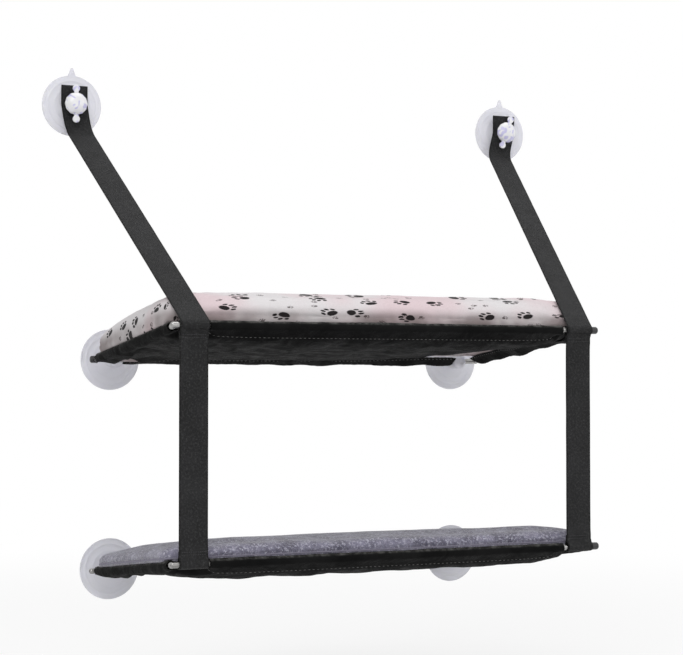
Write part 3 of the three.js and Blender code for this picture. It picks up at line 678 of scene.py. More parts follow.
def cup_outline(hub_height):
    """Cup and hub in (radius, distance from the glass): beaded rim, two moulded ridges, filleted hub."""
    top = hub_height
    shape = [(0, 2.2), (30, 0.55), (36, 0.05), (43.0, 0.0), (44.0, 0.35), (44.0, 1.3), (43.4, 1.75)]
    shape += [(41.6, 1.8), (37.5, 2.15), (36.6, 2.7), (35.6, 2.75), (34.6, 2.5), (31.7, 3.1), (28.0, 3.9)]
    shape += [(26.6, 4.6), (25.4, 4.65), (24.4, 4.5), (19.5, 5.5), (16.0, 6.2), (13.2, 6.9), (11.6, 8.0)]
    shape += [(11.0, 9.6), (11.0, top - 3.0), (10.6, top - 1.6), (9.6, top - 0.6), (8.0, top), (5.5, top)]
    shape += [(5.0, top - 0.7), (0, top - 0.7)]
    return [(r * MM, -y * MM) for r, y in shape]


def cup_body(name, hub_height, tab_turn):
    """A cup in its own frame: its axis is Y, its seal lies at Y = 0."""
    cup = spun(name, cup_outline(hub_height), (0, 1, 0), 72)
    tab = placed(tab_of(name + "_tab"), Matrix.Rotation(-tab_turn, 4, "Y"))
    return combined(cup, tab, "UNION")


def tab_of(name):
    """Pull tab that narrows to a round tip, with softened edges."""
    bpy.ops.mesh.primitive_cube_add(size=1)
    tab = bpy.context.active_object
    tab.name = name
    size = Matrix.Diagonal((17 * MM, 1.4 * MM, 12 * MM, 1))
    placed(tab, Matrix.Translation((46.5 * MM, -0.9 * MM, 0)) @ size)
    only(tab)
    bpy.ops.object.mode_set(mode="EDIT")
    bpy.ops.mesh.select_all(action="SELECT")
    bpy.ops.mesh.subdivide(number_cuts=5)
    bpy.ops.object.mode_set(mode="OBJECT")
    for v in tab.data.vertices:
        share = max(0.0, (v.co.x - 44 * MM) / (11 * MM))
        v.co.z *= 1 - 0.68 * share ** 0.8
        if share >= 0.99:
            v.co.x -= abs(v.co.z) ** 1.5 * 6
    finished(tab, "BEVEL", width=0.5 * MM, segments=2, limit_method="ANGLE")
    return tab


def bore_through(piece, radius, start, end):
    """Cuts a round hole along X or Y from start to end."""
    middle = (Vector(start) + Vector(end)) / 2
    line = Vector(end) - Vector(start)
    bpy.ops.mesh.primitive_cylinder_add(vertices=40, radius=radius, depth=line.length)
    drill = bpy.context.active_object
    placed(drill, Matrix.Translation(middle) @ line.to_track_quat("Z", "Y").to_matrix().to_4x4())
    return combined(piece, drill, "DIFFERENCE")


def cups():
    for level, height in LEVELS.items():
        for side, sign in SIDES.items():
            cup = cup_body(f"{level}_{side}_suction_cup", BACK_HUB, math.pi if sign > 0 else 0)
            reach = (-14 * MM, -ROD_STANDOFF, 0), (14 * MM, -ROD_STANDOFF, 0)
            bore_through(cup, ROD_RADIUS + 0.6 * MM, *reach)
            placed(smoothed(cup, 35), Matrix.Translation((sign * CUP_X, 0, height)))
            dress(cup, CUP_PLASTIC, "cup_plastic", "window_side", f"{level}_{side}_cup")
    for side, sign in SIDES.items():
        cup = cup_body(f"{side}_top_suction_cup", TOP_HUB, math.pi / 2)
        bore_through(cup, 3.3 * MM, (0, -STUD_SEAT * MM, 0), (0, -(TOP_HUB + 3.5) * MM, 0))
        placed(smoothed(cup, 35), Matrix.Translation((sign * TOP_CUP_X + TOP_SHIFT, 0, HANGER_RISE)))
        dress(cup, CUP_PLASTIC, "cup_plastic", "window_side", f"{side}_top_cup")


def thumb_nut(name):
    """Clear thumb nut: a ball-like body with shallow flutes, and two round-headed ears."""
    foot, ball, bore_end = NUT_SEAT, 16.5, 31.2
    outline = [(3.3, bore_end), (3.3, foot), (9.2, foot), (10.2, foot + 0.3), (12.6, foot + 1.4)]
    outline += [(15.2, foot + 3.2), (16.3, foot + 5.0), (ball, foot + 7.0)]
    for i in range(1, 12):
        turn = math.pi / 2 * i / 12
        outline.append((ball * math.cos(turn), foot + 7.2 + 9.6 * math.sin(turn)))
    outline += [(1.2, foot + 16.9), (0, foot + 16.95), (0, bore_end)]
    body = spun(name, [(r * MM, -y * MM) for r, y in outline], (0, 1, 0), 48)
    for v in body.data.vertices:
        out = math.hypot(v.co.x, v.co.z)
        if out > 11 * MM:
            flute = 0.985 + 0.015 * math.cos(12 * math.atan2(v.co.z, v.co.x))
            v.co.x *= flute
            v.co.z *= flute
    return smoothed(combined(body, ear_pair(name + "_ears", foot), "UNION"), 35)


def ear_pair(name, foot):
    """Both ears in one flat bar with round heads on narrow necks, lying along Z."""
    outline = []
    head, neck, centre = 5.3, 3.1, 22.1
    meet = math.asin(neck / head)
    for end in (1, -1):
        for i in range(15):
            turn = -math.pi / 2 + meet + (2 * math.pi - 2 * meet) * i / 14
            outline.append((head * math.cos(turn) * end, (centre + head * math.sin(turn)) * end))
    points = [(x * MM, -(foot + 4.6) * MM, z * MM) for x, z in outline]
    piece = drawn(name, points, faces=[tuple(range(len(points)))])
    only(piece)
    bpy.ops.object.mode_set(mode="EDIT")
    bpy.ops.mesh.select_all(action="SELECT")
    bpy.ops.mesh.extrude_region_move(TRANSFORM_OT_translate={"value": (0, -4.4 * MM, 0)})
    bpy.ops.mesh.select_all(action="SELECT")
    bpy.ops.mesh.normals_make_consistent(inside=False)
    bpy.ops.object.mode_set(mode="OBJECT")
    return finished(piece, "BEVEL", width=1.1 * MM, segments=3, limit_method="ANGLE")


def stud(name):
    """Threaded steel stud: a root in the hub and a thread out to its rounded point."""
    outline = [(0, -30.4), (2.0, -30.4), (2.8, -29.6)]
    for i in range(24):
        place = -29.2 + i
        outline += [(2.9, place), (2.45, place + 0.5)]
    outline += [(2.9, -4.9), (2.9, -4.6), (0, -4.6)]
    return smoothed(spun(name, [(r * MM, y * MM) for r, y in outline], (0, 1, 0), 24), 25)


def top_anchors():
    for side, sign in SIDES.items():
        place = Matrix.Translation((sign * TOP_CUP_X + TOP_SHIFT, 0, HANGER_RISE))
        pin = placed(stud(side + "_threaded_stud"), place)
        dress(pin, STEEL, "rod_steel", "window_side", side + "_stud")
        turn = Matrix.Rotation(0.0 if sign < 0 else math.radians(20), 4, "Y")
        nut = placed(thumb_nut(side + "_clear_nut"), place @ turn)
        dress(nut, KNOB_PLASTIC, "knob_plastic", side + "_knob", side + "_thumb_nut")
        ring = frame["nodes"][side + "_eyelet"]
        for spot in ring.material_slots:
            spot.material = BLACK_PLASTIC


# Webbing, and stitches as (length, pitch, thickness)
DROP_STITCH = (2.3 * MM, 3.0 * MM, 0.55 * MM)
SEAM_STITCH = (3.4 * MM, 6.4 * MM, 0.9 * MM)


def hanger_heading():
    """Heading of a hanger's straight run, in (distance into the room, height)."""
    gap = Vector((-FRONT_Y, FRONT_Z)) - Vector((HANGER_SEAT + HANGER_BEND, HANGER_RISE - HANGER_FLAT))
    return math.atan2(gap.y, gap.x) + math.asin((HANGER_BEND + HANGER_WRAP) / gap.length)


def hanger_line(sign):
    """Middle line of a hanger as (place, heading), from its tail above the stud to the front rod."""
    bend, flat, wrap, level = HANGER_BEND, HANGER_FLAT, HANGER_WRAP, HANGER_SEAT
    centre = Vector((level + bend, HANGER_RISE - flat))
    rod = Vector((-FRONT_Y, FRONT_Z))
    heading = hanger_heading()
    from_x, to_x = sign * TOP_CUP_X + TOP_SHIFT, sign * STRAP_X

    def beside(middle, radius, turn):
        return (middle.x - radius * math.sin(turn), middle.y + radius * math.cos(turn), turn)

    tail = 27.5 * MM
    line = [(level, HANGER_RISE + tail - (tail + flat) * i / 12, -math.pi / 2) for i in range(12)]
    down = -math.pi / 2
    line += [beside(centre, -bend, down + (heading - down) * i / 16) for i in range(17)]
    first = beside(rod, wrap, heading)
    last = line[-1]
    for i in range(1, 90):
        t = i / 90
        line.append((last[0] + (first[0] - last[0]) * t, last[1] + (first[1] - last[1]) * t, heading))
    end = math.radians(-118)
    line += [beside(rod, wrap, heading + (end - heading) * i / 18) for i in range(19)]
    fall = HANGER_RISE - first[1]
    placed_line = []
    for out, height, turn in line:
        share = 1.0 if out > first[0] else max(0.0, min(1.0, (HANGER_RISE - height) / fall))
        placed_line.append((Vector((from_x + (to_x - from_x) * share, -out, height)), turn))
    return placed_line


def strap_from(name, line, thick=1.7 * MM):
    """A webbing strap swept along a line of (place, heading), with soft edges and a UV map in metres."""
    cells = 12
    points, spots = [], []
    run = 0.0
    for i, (place, turn) in enumerate(line):
        if i:
            run += (place - line[i - 1][0]).length
        normal = Vector((0, math.sin(turn), math.cos(turn)))
        for j in range(cells + 1):
            across = (j / cells - 0.5) * (WEB_WIDTH - 0.8 * MM)
            lift = 0.25 * MM * ripple(place.x + across, place.y * 1.3, place.z, 0.03)
            points.append(place + Vector((across, 0, 0)) + normal * lift)
            spots.append((across, run))
    faces = grid_faces(cells + 1, len(line))
    strap = drawn(name, points, faces=faces)
    layer = strap.data.uv_layers.new(name="strap")
    for loop in strap.data.loops:
        layer.data[loop.index].uv = spots[loop.vertex_index]
    finished(strap, "SOLIDIFY", thickness=thick, offset=0.0)
    finished(strap, "BEVEL", width=0.5 * MM, segments=2, limit_method="ANGLE", angle_limit=math.radians(50))
    return smoothed(strap, 45)


def strap_end():
    """Middle line of a drop strap's end as (out, height): tail, loop round the rod, and doubled part."""
    ring, meet, tail = LOOP_RADIUS - WEB_THICK / 2, 11 * MM, 17 * MM
    neck = Vector((0.95 * MM, -meet))
    start = math.atan2(neck.y, neck.x) + math.acos(ring / neck.length)
    line = [(neck.x, -tail), (neck.x, -(tail + meet) / 2), tuple(neck)]
    for i in range(25):
        turn = start + (math.pi - 2 * start) * i / 24
        line.append((ring * math.cos(turn), ring * math.sin(turn)))
    line += [(-neck.x, -meet), (-neck.x, -(tail + meet) / 2), (-neck.x, -tail)]
    return line + [(-0.4 * MM, -tail - 4 * MM), (0.0, -tail - 10 * MM)]


def drop_line(x):
    """Middle line of a drop strap: a looped end at each rod, and one ply between them."""
    end = strap_end()
    low = end[-1][1]
    line = list(end)
    for i in range(1, 60):
        line.append((0.0, low - (TIER_SPACING + 2 * low) * i / 60))
    line += [(out, -TIER_SPACING - height) for out, height in reversed(end)]
    places = [Vector((x, FRONT_Y + out, FRONT_Z + height)) for out, height in line]
    headed = []
    for i, place in enumerate(places):
        before, after = places[max(0, i - 1)], places[min(len(places) - 1, i + 1)]
        step = after - before
        headed.append((place, math.atan2(step.z, -step.y)))
    return headed


def stitch_rows(name, rows, size, material, slot, body):
    """Raised stitches along rows of (place, normal): each a small capsule, modelled once and copied."""
    bpy.ops.mesh.primitive_uv_sphere_add(segments=6, ring_count=4, radius=0.5)
    model = bpy.context.active_object
    stitch_points = [v.co.copy() for v in model.data.vertices]
    stitch_faces = [tuple(p.vertices) for p in model.data.polygons]
    bpy.data.objects.remove(model)
    length, pitch, thick = size
    points, faces = [], []
    for path in rows:
        travelled, next_stop = 0.0, pitch / 2
        for (a, up_a), (b, _) in zip(path, path[1:]):
            step = (b - a).length
            if step < 1e-9:
                continue
            while next_stop <= travelled + step:
                spot = a.lerp(b, (next_stop - travelled) / step)
                way = (b - a).normalized()
                up = up_a.normalized()
                across = way.cross(up).normalized()
                base = len(points)
                for p in stitch_points:
                    points.append(spot + way * (p.z * length) + across * (p.x * thick) + up * (p.y * thick))
                faces += [tuple(base + k for k in f) for f in stitch_faces]
                next_stop += pitch
            travelled += step
    piece = faced_out(drawn(name, points, faces=faces))
    bpy.ops.object.shade_smooth()
    return dress(piece, material, slot, body)


def straps():
    for side, sign in SIDES.items():
        line = hanger_line(sign)
        hanger = strap_from(side + "_hanger_webbing", line)
        dress(hanger, WEBBING, "webbing", None, side + "_hanger_strap")
        tuple(line[14][0])
        tuple(line[-12][0])
        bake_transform(hanger)
        x = sign * STRAP_X
        drop = strap_from(side + "_drop_webbing", drop_line(x), 1.65 * MM)
        dress(drop, WEBBING, "webbing", side + "_drop", side + "_drop_strap")
        rows = []
        for centre, away in ((FRONT_Z, -1), (FRONT_Z - TIER_SPACING, 1)):
            for down in (12.0 * MM, 15.6 * MM):
                for face in (-1, 1):
                    y = FRONT_Y + face * 1.95 * MM
                    z = centre + away * down
                    ends = [Vector((x + part * 33 * MM, y, z)) for part in (-0.5, 0.0, 0.5)]
                    rows.append([(spot, Vector((0, face, 0))) for spot in ends])
        name, body = side + "_drop_stitching", side + "_drop"
        stitch_rows(name, rows, DROP_STITCH, DARK_THREAD, "webbing", body)


# Sling cloth
SLINGS = {
    "upper": {"seed": 1.7, "sag": 20 * MM, "fold": 1.6 * MM, "pull": 1.0, "notch": (108 * MM, 160 * MM, 1.5)},
    "lower": {"seed": 8.3, "sag": 21 * MM, "fold": 1.0 * MM, "pull": 0.0, "notch": (98 * MM, 142 * MM, 1.15)},
}
LEFT_NOTCH = (84 * MM, 122 * MM, 1.0)
BINDING_WIDTH = 4.6 * MM
BINDING_THICK = 2.0 * MM
CLOTH_THICK = 1.0 * MM


def notch_share(form, u, v):
    """1 on the edge of the open corner at the window, less inside the opening, and more out on the cloth."""
    wide, deep, bow = form["notch"] if u > 0 else LEFT_NOTCH
    across, along = max(0.0, (SIDE_X - abs(u)) / wide), max(0.0, v / deep)
    return (across ** bow + along ** bow) ** (1 / bow)


def cloth_height(level, u, v, folded=1.0):
    """Height of the cloth's middle over the plane of the rods, u along X and v out from the back rod."""
    form = SLINGS[level]
    share = min(1.0, max(0.0, v / TIER_DEPTH))
    deep = (1 - (1 - share) ** 1.9) * (1 - share ** 20)
    wide = 1 - min(1.0, abs(u / SIDE_X)) ** 9
    fold = folded * math.cos(math.pi * 7 * u / SIDE_X + 1.9 * share)
    opening = notch_share(form, u, v)
    from_front = (SIDE_X - abs(u)) / FRONT_CORNER[0] + (TIER_DEPTH - v) / FRONT_CORNER[1]
    slack = smoothstep(1.0, 2.4, opening) * smoothstep(1.0, 1.35, from_front)
    height = (-form["sag"] - form["fold"] * fold) * deep * wide * slack
    along_edge = min(1.0, 1.5 * math.sin(math.pi * min(1.0, v / (150 * MM))))
    edge = math.exp(-max(0.0, opening - 1) * 2.6) * along_edge
    if u < 0:
        return height - 9 * MM * edge * (1 + 0.12 * math.sin(v / (14 * MM)))
    return height + 3.6 * MM * edge * form["pull"]


def cloth_crease(u, v, seed):
    """Small creases: they run in from the rods' seams and fade out, with slack puckers between."""
    from_front, from_back = TIER_DEPTH - v, v
    pull = math.exp(-from_front / (70 * MM)) + 0.7 * math.exp(-from_back / (60 * MM))
    radial = ripple(u * 2.6 + 0.5 * v, v * 0.35, seed, 0.05) + 0.5 * ripple(u * 5.5, v * 0.7, seed + 3, 0.05)
    slack = ripple(u, v * 1.6, seed + 7, 0.055)
    diagonal = ripple(u + 1.3 * v, v, seed + 11, 0.07)
    return (1.9 * radial * pull + 1.5 * slack + 1.1 * diagonal) * MM


def cloth_limit(level, sign, v):
    """How far the sheet reaches to one side at v, inside the open corners."""
    wide, deep, bow = SLINGS[level]["notch"] if sign > 0 else LEFT_NOTCH
    back = SIDE_X - wide * max(0.0, 1 - (v / deep) ** bow) ** (1 / bow)
    front = SIDE_X - FRONT_CORNER[0] * (1 - (TIER_DEPTH - v) / FRONT_CORNER[1])
    return min(SIDE_X - SEAM, back, front)


def sheet_of(level, seed):
    """The sling's sheet between the four seams, as grid points in the tier's frame."""
    wide, deep = 190, 104
    points = []
    for j in range(deep):
        v = SEAM + (TIER_DEPTH - 2 * SEAM) * j / (deep - 1)
        left, right = -cloth_limit(level, -1, v), cloth_limit(level, 1, v)
        for i in range(wide):
            u = left + (right - left) * i / (wide - 1)
            inside = min(u - left, right - u) / (20 * MM)
            edge = min(1.0, inside, (v - SEAM) / (12 * MM), (TIER_DEPTH - SEAM - v) / (12 * MM))
            from_seam = min(v, TIER_DEPTH - v) - SEAM
            folded = smoothstep(0.0, 45 * MM, from_seam)
            crease = cloth_crease(u, v, seed) * (0.15 + 0.85 * max(0.0, edge))
            points.append(Vector((u, -v, cloth_height(level, u, v, folded) + crease)))
    return points, grid_faces(wide, deep)


def ply_ends(seam):
    """Where a sleeve's upper and lower plies leave the rod, in (outward, height)."""
    heading = math.atan2(seam.y, seam.x) % (2 * math.pi)
    spread = math.acos(SLEEVE_RADIUS / seam.length)
    return heading + 2 * math.pi - spread, heading + spread


def sleeve_section(seam):
    """Loop of cloth round a rod in (outward, height): from the seam over the rod and back beneath it."""
    start, end = ply_ends(seam)
    first = Vector((math.cos(start), math.sin(start))) * SLEEVE_RADIUS
    loop = [seam.lerp(first, i / 7) for i in range(7)]
    for i in range(19):
        turn = start + (end - start) * i / 18
        loop.append(Vector((math.cos(turn), math.sin(turn))) * SLEEVE_RADIUS)
    final = loop[-1].copy()
    return loop + [final.lerp(seam, i / 7) for i in range(1, 7)]


def sleeve_runs(level):
    """Each sleeve's name, length, bagginess, and rule: from the place along it to rod, outward and drop."""
    front_half = STRAP_X - WEB_WIDTH / 2 - 4 * MM
    back_half = CUP_X - 11.6 * MM
    side_length = TIER_DEPTH - SIDE_FRONT - SIDE_BACK
    side_middle = SIDE_BACK + side_length / 2
    low = level == "lower"

    def at_front(s):
        drop = cloth_height(level, s, TIER_DEPTH - SEAM, 0.0)
        return Vector((s - 2.6 * MM, -TIER_DEPTH, 0)), Vector((0, -1, 0)), drop

    def at_back(s):
        return Vector((s, 0, 0)), Vector((0, 1, 0)), cloth_height(level, s, SEAM, 0.0)

    def at_side(sign):
        return lambda s: (
            Vector((sign * SIDE_X, -side_middle - s, 0)),
            Vector((sign, 0, 0)),
            cloth_height(level, sign * (SIDE_X - SEAM), side_middle + s),
        )

    return [
        ("front", 2 * front_half, (0.2, 0.2), at_front),
        ("back", 2 * back_half, (2.6 if low else 1.0, 1.6), at_back),
        ("left", side_length, (2.8, 1.6), at_side(-1)),
        ("right", side_length, (1.6, 2.2), at_side(1)),
    ]


def sleeve(length, hang, rule, seed):
    """One sleeve as a closed strip: puckered at its seam, gathered at its ends, and baggy below its rod."""
    steps = max(60, int(length / (2.6 * MM)))
    rows = []
    for i in range(steps + 1):
        s = (i / steps - 0.5) * length
        rod, outward, drop = rule(s)
        seam = Vector((-SEAM, drop))
        gather = math.exp(-(length / 2 - abs(s)) / (16 * MM))
        row = []
        for k, p in enumerate(sleeve_section(seam)):
            near_seam = math.exp(-(p - seam).length / (7 * MM))
            pucker = ripple(s * 3.2, k * 0.004, seed, 0.02) * (0.5 + 0.9 * near_seam)
            wave = ripple(s, k * 0.006, seed + 5, 0.05) * 0.9
            pinch = gather * ripple(s * 0.7, k * 0.02, seed + 9, 0.012) * 1.6
            belly = min(1.0, max(0.0, -p.y / SLEEVE_RADIUS)) * (1 - gather)
            bag = belly * max(0.0, hang[0] + 2 * hang[1] * ripple(s, 0.0, seed + 13, 0.045))
            q = p + p.normalized() * ((pucker + wave + pinch) * 0.75 * MM + 0.25 * MM) - Vector((0, bag * MM))
            row.append(rod + outward * q.x + Vector((0, 0, q.y)))
        rows.append(row)
    count = len(rows[0])
    points = [row[k] for k in range(count) for row in rows]
    return points, grid_faces(steps + 1, count, loop_round=True)


def ridge_highlight(co):
    """How much painted highlight a place on a sleeve gets: most along the ridge over its rod, on the outer
    side.
    """
    out = max(-co.y - TIER_DEPTH, co.y, abs(co.x) - SIDE_X)
    return smoothstep(SLEEVE_RADIUS * 0.35, SLEEVE_RADIUS * 0.8, co.z) * smoothstep(-3 * MM, 1 * MM, out)


def slings():
    for level, form in SLINGS.items():
        seed = form["seed"]
        points, faces = sheet_of(level, seed)
        parts = [drawn(level + "_sheet", points, faces=faces)]
        for where, length, hang, rule in sleeve_runs(level):
            points, faces = sleeve(length, hang, rule, seed + len(where) * 2.1)
            parts.append(drawn(f"{level}_{where}_sleeve", points, faces=faces))
        for part in parts:
            finished(faced_out(part), "SOLIDIFY", thickness=CLOTH_THICK, offset=0.0)
        for sign in SIDES.values():
            wide, deep, bow = form["notch"] if sign > 0 else LEFT_NOTCH
            back_end = deep * (1 - (SEAM / wide) ** bow) ** (1 / bow)
            front_end = TIER_DEPTH - FRONT_CORNER[1] * (1 - SEAM / FRONT_CORNER[0])
            for low, high in ((SEAM, back_end), (front_end, TIER_DEPTH - SEAM)):
                run = []
                for i in range(22):
                    v = low + (high - low) * i / 21
                    u = sign * cloth_limit(level, sign, v)
                    run.append(Vector((u, -v, cloth_height(level, u, v) + cloth_crease(u, v, seed) * 0.15)))
                points, faces = tube_along(run, BINDING_WIDTH / 2, BINDING_THICK / 2, 8)
                parts.append(drawn(level + "_binding", points, faces=faces))
        cloth = joined(level + "_sling_cloth", parts)
        # The rub attribute holds the painted highlight along the sleeves' ridges.
        highlight_share = cloth.data.attributes.new("rub", "FLOAT", "POINT")
        highlight_share.data.foreach_set("value", [ridge_highlight(v.co) for v in cloth.data.vertices])
        placed(smoothed(cloth, 60), tier_matrix(level))
        dress(cloth, CLOTH, "sling_cloth", level + "_tier", level + "_sling")
        seam_stitching(level)


def seam_stitching(level):
    """Rows of thread along the four seams, on the upper and the lower ply."""
    turn = tier_matrix(level)
    turn_only = turn.to_3x3()
    rows = []
    for _, length, _, rule in sleeve_runs(level):
        for ply in (0, 1):
            path = []
            count = 90
            for i in range(count + 1):
                s = (i / count - 0.5) * (length - 6 * MM)
                rod, outward, drop = rule(s)
                seam = Vector((-SEAM, drop))
                angle = ply_ends(seam)[ply]
                leave = Vector((math.cos(angle), math.sin(angle))) * SLEEVE_RADIUS
                run = (leave - seam).normalized()
                out = Vector((-run.y, run.x)) if ply == 0 else Vector((run.y, -run.x))
                spot = seam + run * 1.8 * MM + out * 0.85 * MM
                place = rod + outward * spot.x + Vector((0, 0, spot.y))
                path.append((turn @ place, turn_only @ (outward * out.x + Vector((0, 0, out.y)))))
            rows.append(path)
    stitch_rows(level + "_seam_stitching", rows, SEAM_STITCH, PALE_THREAD, "sling_cloth", level + "_tier")


# Mats: "rear" says how squarely the top runs out to the edge at the window
MATS = {
    "upper": {"seam": 16 * MM, "top": 36 * MM, "crown": 4 * MM, "dent": True, "rear": 2.6},
    "lower": {"seam": 10 * MM, "top": 20 * MM, "crown": 3 * MM, "dent": False, "rear": 15.0},
}
MAT_REAR = 15 * MM
MAT_FRONT = 9 * MM
MAT_HALF_X = ROD_LENGTH / 2 + 6 * MM
MAT_HALF_Y = (TIER_DEPTH - MAT_REAR - MAT_FRONT) / 2
MAT_MIDDLE = MAT_REAR + MAT_HALF_Y
MAT_ROUND = 10 * MM
MAT_SLACK = 3.2 * MM
VOXEL = 5 * MM
SWELL_CAP = 5 * MM
PIPING_RADIUS = 1.2 * MM


def bench(inward, drop):
    """Height that a mat keeps clear of at a rod, at a distance in from the rod's axis."""
    radius = SLEEVE_RADIUS + 0.5 * MM
    tip = Vector((SEAM + 0.3 * MM, drop + 0.4 * MM))
    if inward >= tip.x:
        return -1.0
    turn = math.atan2(tip.y, tip.x) + math.acos(radius / tip.length)
    touch = Vector((math.cos(turn), math.sin(turn))) * radius
    if inward > touch.x:
        return tip.y + (touch.y - tip.y) * (tip.x - inward) / (tip.x - touch.x)
    if inward > -radius:
        return math.sqrt(max(0.0, radius * radius - inward * inward))
    return 0.0


def bed(level, u, v):
    """Lowest place for a mat at (u, v): on the cloth, and over the sleeves."""
    inside_v = min(TIER_DEPTH - 6 * MM, max(6 * MM, v))
    return max(
        cloth_height(level, u, inside_v) + 1.3 * MM,
        bench(v, cloth_height(level, u, SEAM, 0.0)),
        bench(TIER_DEPTH - v, cloth_height(level, u, TIER_DEPTH - SEAM, 0.0)),
        bench(SIDE_X - abs(u), cloth_height(level, math.copysign(SIDE_X - SEAM, u), v)),
    )


def hanger_underside(v):
    """Underside of a hanger over the plane of the rods at v, for the mat pressed in beneath it."""
    slope = hanger_heading() - TILT
    clear = HANGER_WRAP - 3.6 * MM
    return clear * math.cos(slope) + (v - TIER_DEPTH + clear * math.sin(slope)) * math.tan(slope)


def mat_blank(level):
    """The mat before it is filled: a closed pad a little smaller than the space that it fills."""
    form, shrink = MATS[level], MAT_SLACK
    wide, deep = 72, 40
    points = []

    def place(a, b):
        inset = MAT_ROUND * abs(a) * abs(b) ** 13
        inset_deep = MAT_ROUND * abs(b) * abs(a) ** 23
        u = a * (MAT_HALF_X - shrink - 3 * MM * (1 - b * b)) - math.copysign(inset, a)
        v = MAT_MIDDLE - b * (MAT_HALF_Y - shrink - 3 * MM * (1 - a * a)) + math.copysign(inset_deep, b)
        return u, v

    def crowd(share):
        s = 2 * share - 1
        return math.copysign(1 - (1 - abs(s)) ** 1.9, s)

    for top in (False, True):
        for j in range(deep + 1):
            for i in range(wide + 1):
                a, b = crowd(i / wide), crowd(j / deep)
                u, v = place(a, b)
                edge = (1 - abs(a) ** 26) * (1 - abs(b) ** (form["rear"] if top and b > 0 else 15))
                swell = max(0.0, edge) ** 0.45
                if top:
                    crown = form["crown"] * (1 - a * a) * (1 - b * b)
                    height = form["seam"] + (form["top"] - shrink) * swell + crown
                else:
                    height = max(form["seam"] - 46 * MM * swell, bed(level, u, v) + 0.4 * MM)
                    height = min(height, form["seam"] + 0.02 * MM)
                points.append(Vector((u, -v, height)))
    count = (wide + 1) * (deep + 1)
    faces = [tuple(reversed(f)) for f in grid_faces(wide + 1, deep + 1)]
    faces += grid_faces(wide + 1, deep + 1, count)
    blank = drawn(level + "_mat_blank", points, faces=faces)
    only(blank)
    bpy.ops.object.mode_set(mode="EDIT")
    bpy.ops.mesh.select_all(action="SELECT")
    bpy.ops.mesh.remove_doubles(threshold=0.05 * MM)
    bpy.ops.mesh.select_all(action="DESELECT")
    bpy.ops.mesh.select_non_manifold()
    bpy.ops.mesh.fill_holes(sides=4)
    bpy.ops.mesh.select_all(action="SELECT")
    bpy.ops.mesh.normals_make_consistent(inside=False)
    bpy.ops.object.mode_set(mode="OBJECT")
    return blank


def filled(level, blank):
    """Remeshes the blank, lets pressure fill it as cloth, and keeps each point within a cap of its place."""
    faces = [tuple(p.vertices) for p in blank.data.polygons]
    pad = drawn(level + "_mat_cover", [v.co.copy() for v in blank.data.vertices], faces=faces)
    finished(pad, "REMESH", mode="VOXEL", voxel_size=VOXEL)
    rest = [v.co.copy() for v in pad.data.vertices]
    held = pad.vertex_groups.new(name="held")
    for v in pad.data.vertices:
        low = MATS[level]["seam"] - 3 * MM
        weight = smoothstep(low + 6 * MM, low, v.co.z)
        if weight > 0:
            held.add([v.index], weight, "REPLACE")
    cloth = pad.modifiers.new("Cloth", "CLOTH")
    settings = cloth.settings
    settings.quality = 5
    settings.mass = 0.25
    settings.tension_stiffness = 18
    settings.compression_stiffness = 12
    settings.shear_stiffness = 6
    settings.bending_stiffness = 0.8
    settings.use_pressure = True
    settings.uniform_pressure_force = 4
    settings.vertex_group_mass = "held"
    settings.effector_weights.gravity = 0
    cloth.collision_settings.use_collision = False
    scene = bpy.context.scene
    for step in range(1, 21):
        scene.frame_set(step)
    shaped = pad.evaluated_get(bpy.context.evaluated_depsgraph_get())
    swollen = [v.co.copy() for v in shaped.data.vertices]
    pad.modifiers.clear()
    scene.frame_set(1)
    centre = Vector((0, -MAT_MIDDLE, 0))
    for v, start, end in zip(pad.data.vertices, rest, swollen):
        move = end - start
        out = (start - centre) * Vector((1 / MAT_HALF_X, 1 / MAT_HALF_Y, 0))
        rim = smoothstep(0.72, 0.92, max(abs(out.x), abs(out.y)))
        for axis in (0, 1):
            if move[axis] * out[axis] < 0:
                move[axis] *= 0.15
        if move.z * (start.z - MATS[level]["seam"]) < 0:
            move.z *= 1 - 0.85 * rim
        move.z *= 0.55
        past = min(move.length - SWELL_CAP, 2 * SWELL_CAP)
        if past > 0:
            move = move.normalized() * (SWELL_CAP + 0.15 * past)
        v.co = start + move
    pad.vertex_groups.clear()
    return pad


def seam_place(co):
    """Distance along the mat's edge for puckers, and how near the edge a point lies."""
    side_u = MAT_HALF_X - abs(co.x)
    side_v = MAT_HALF_Y - abs(-co.y - MAT_MIDDLE)
    along = co.x if side_v < side_u else -co.y
    return along, min(side_u, side_v)


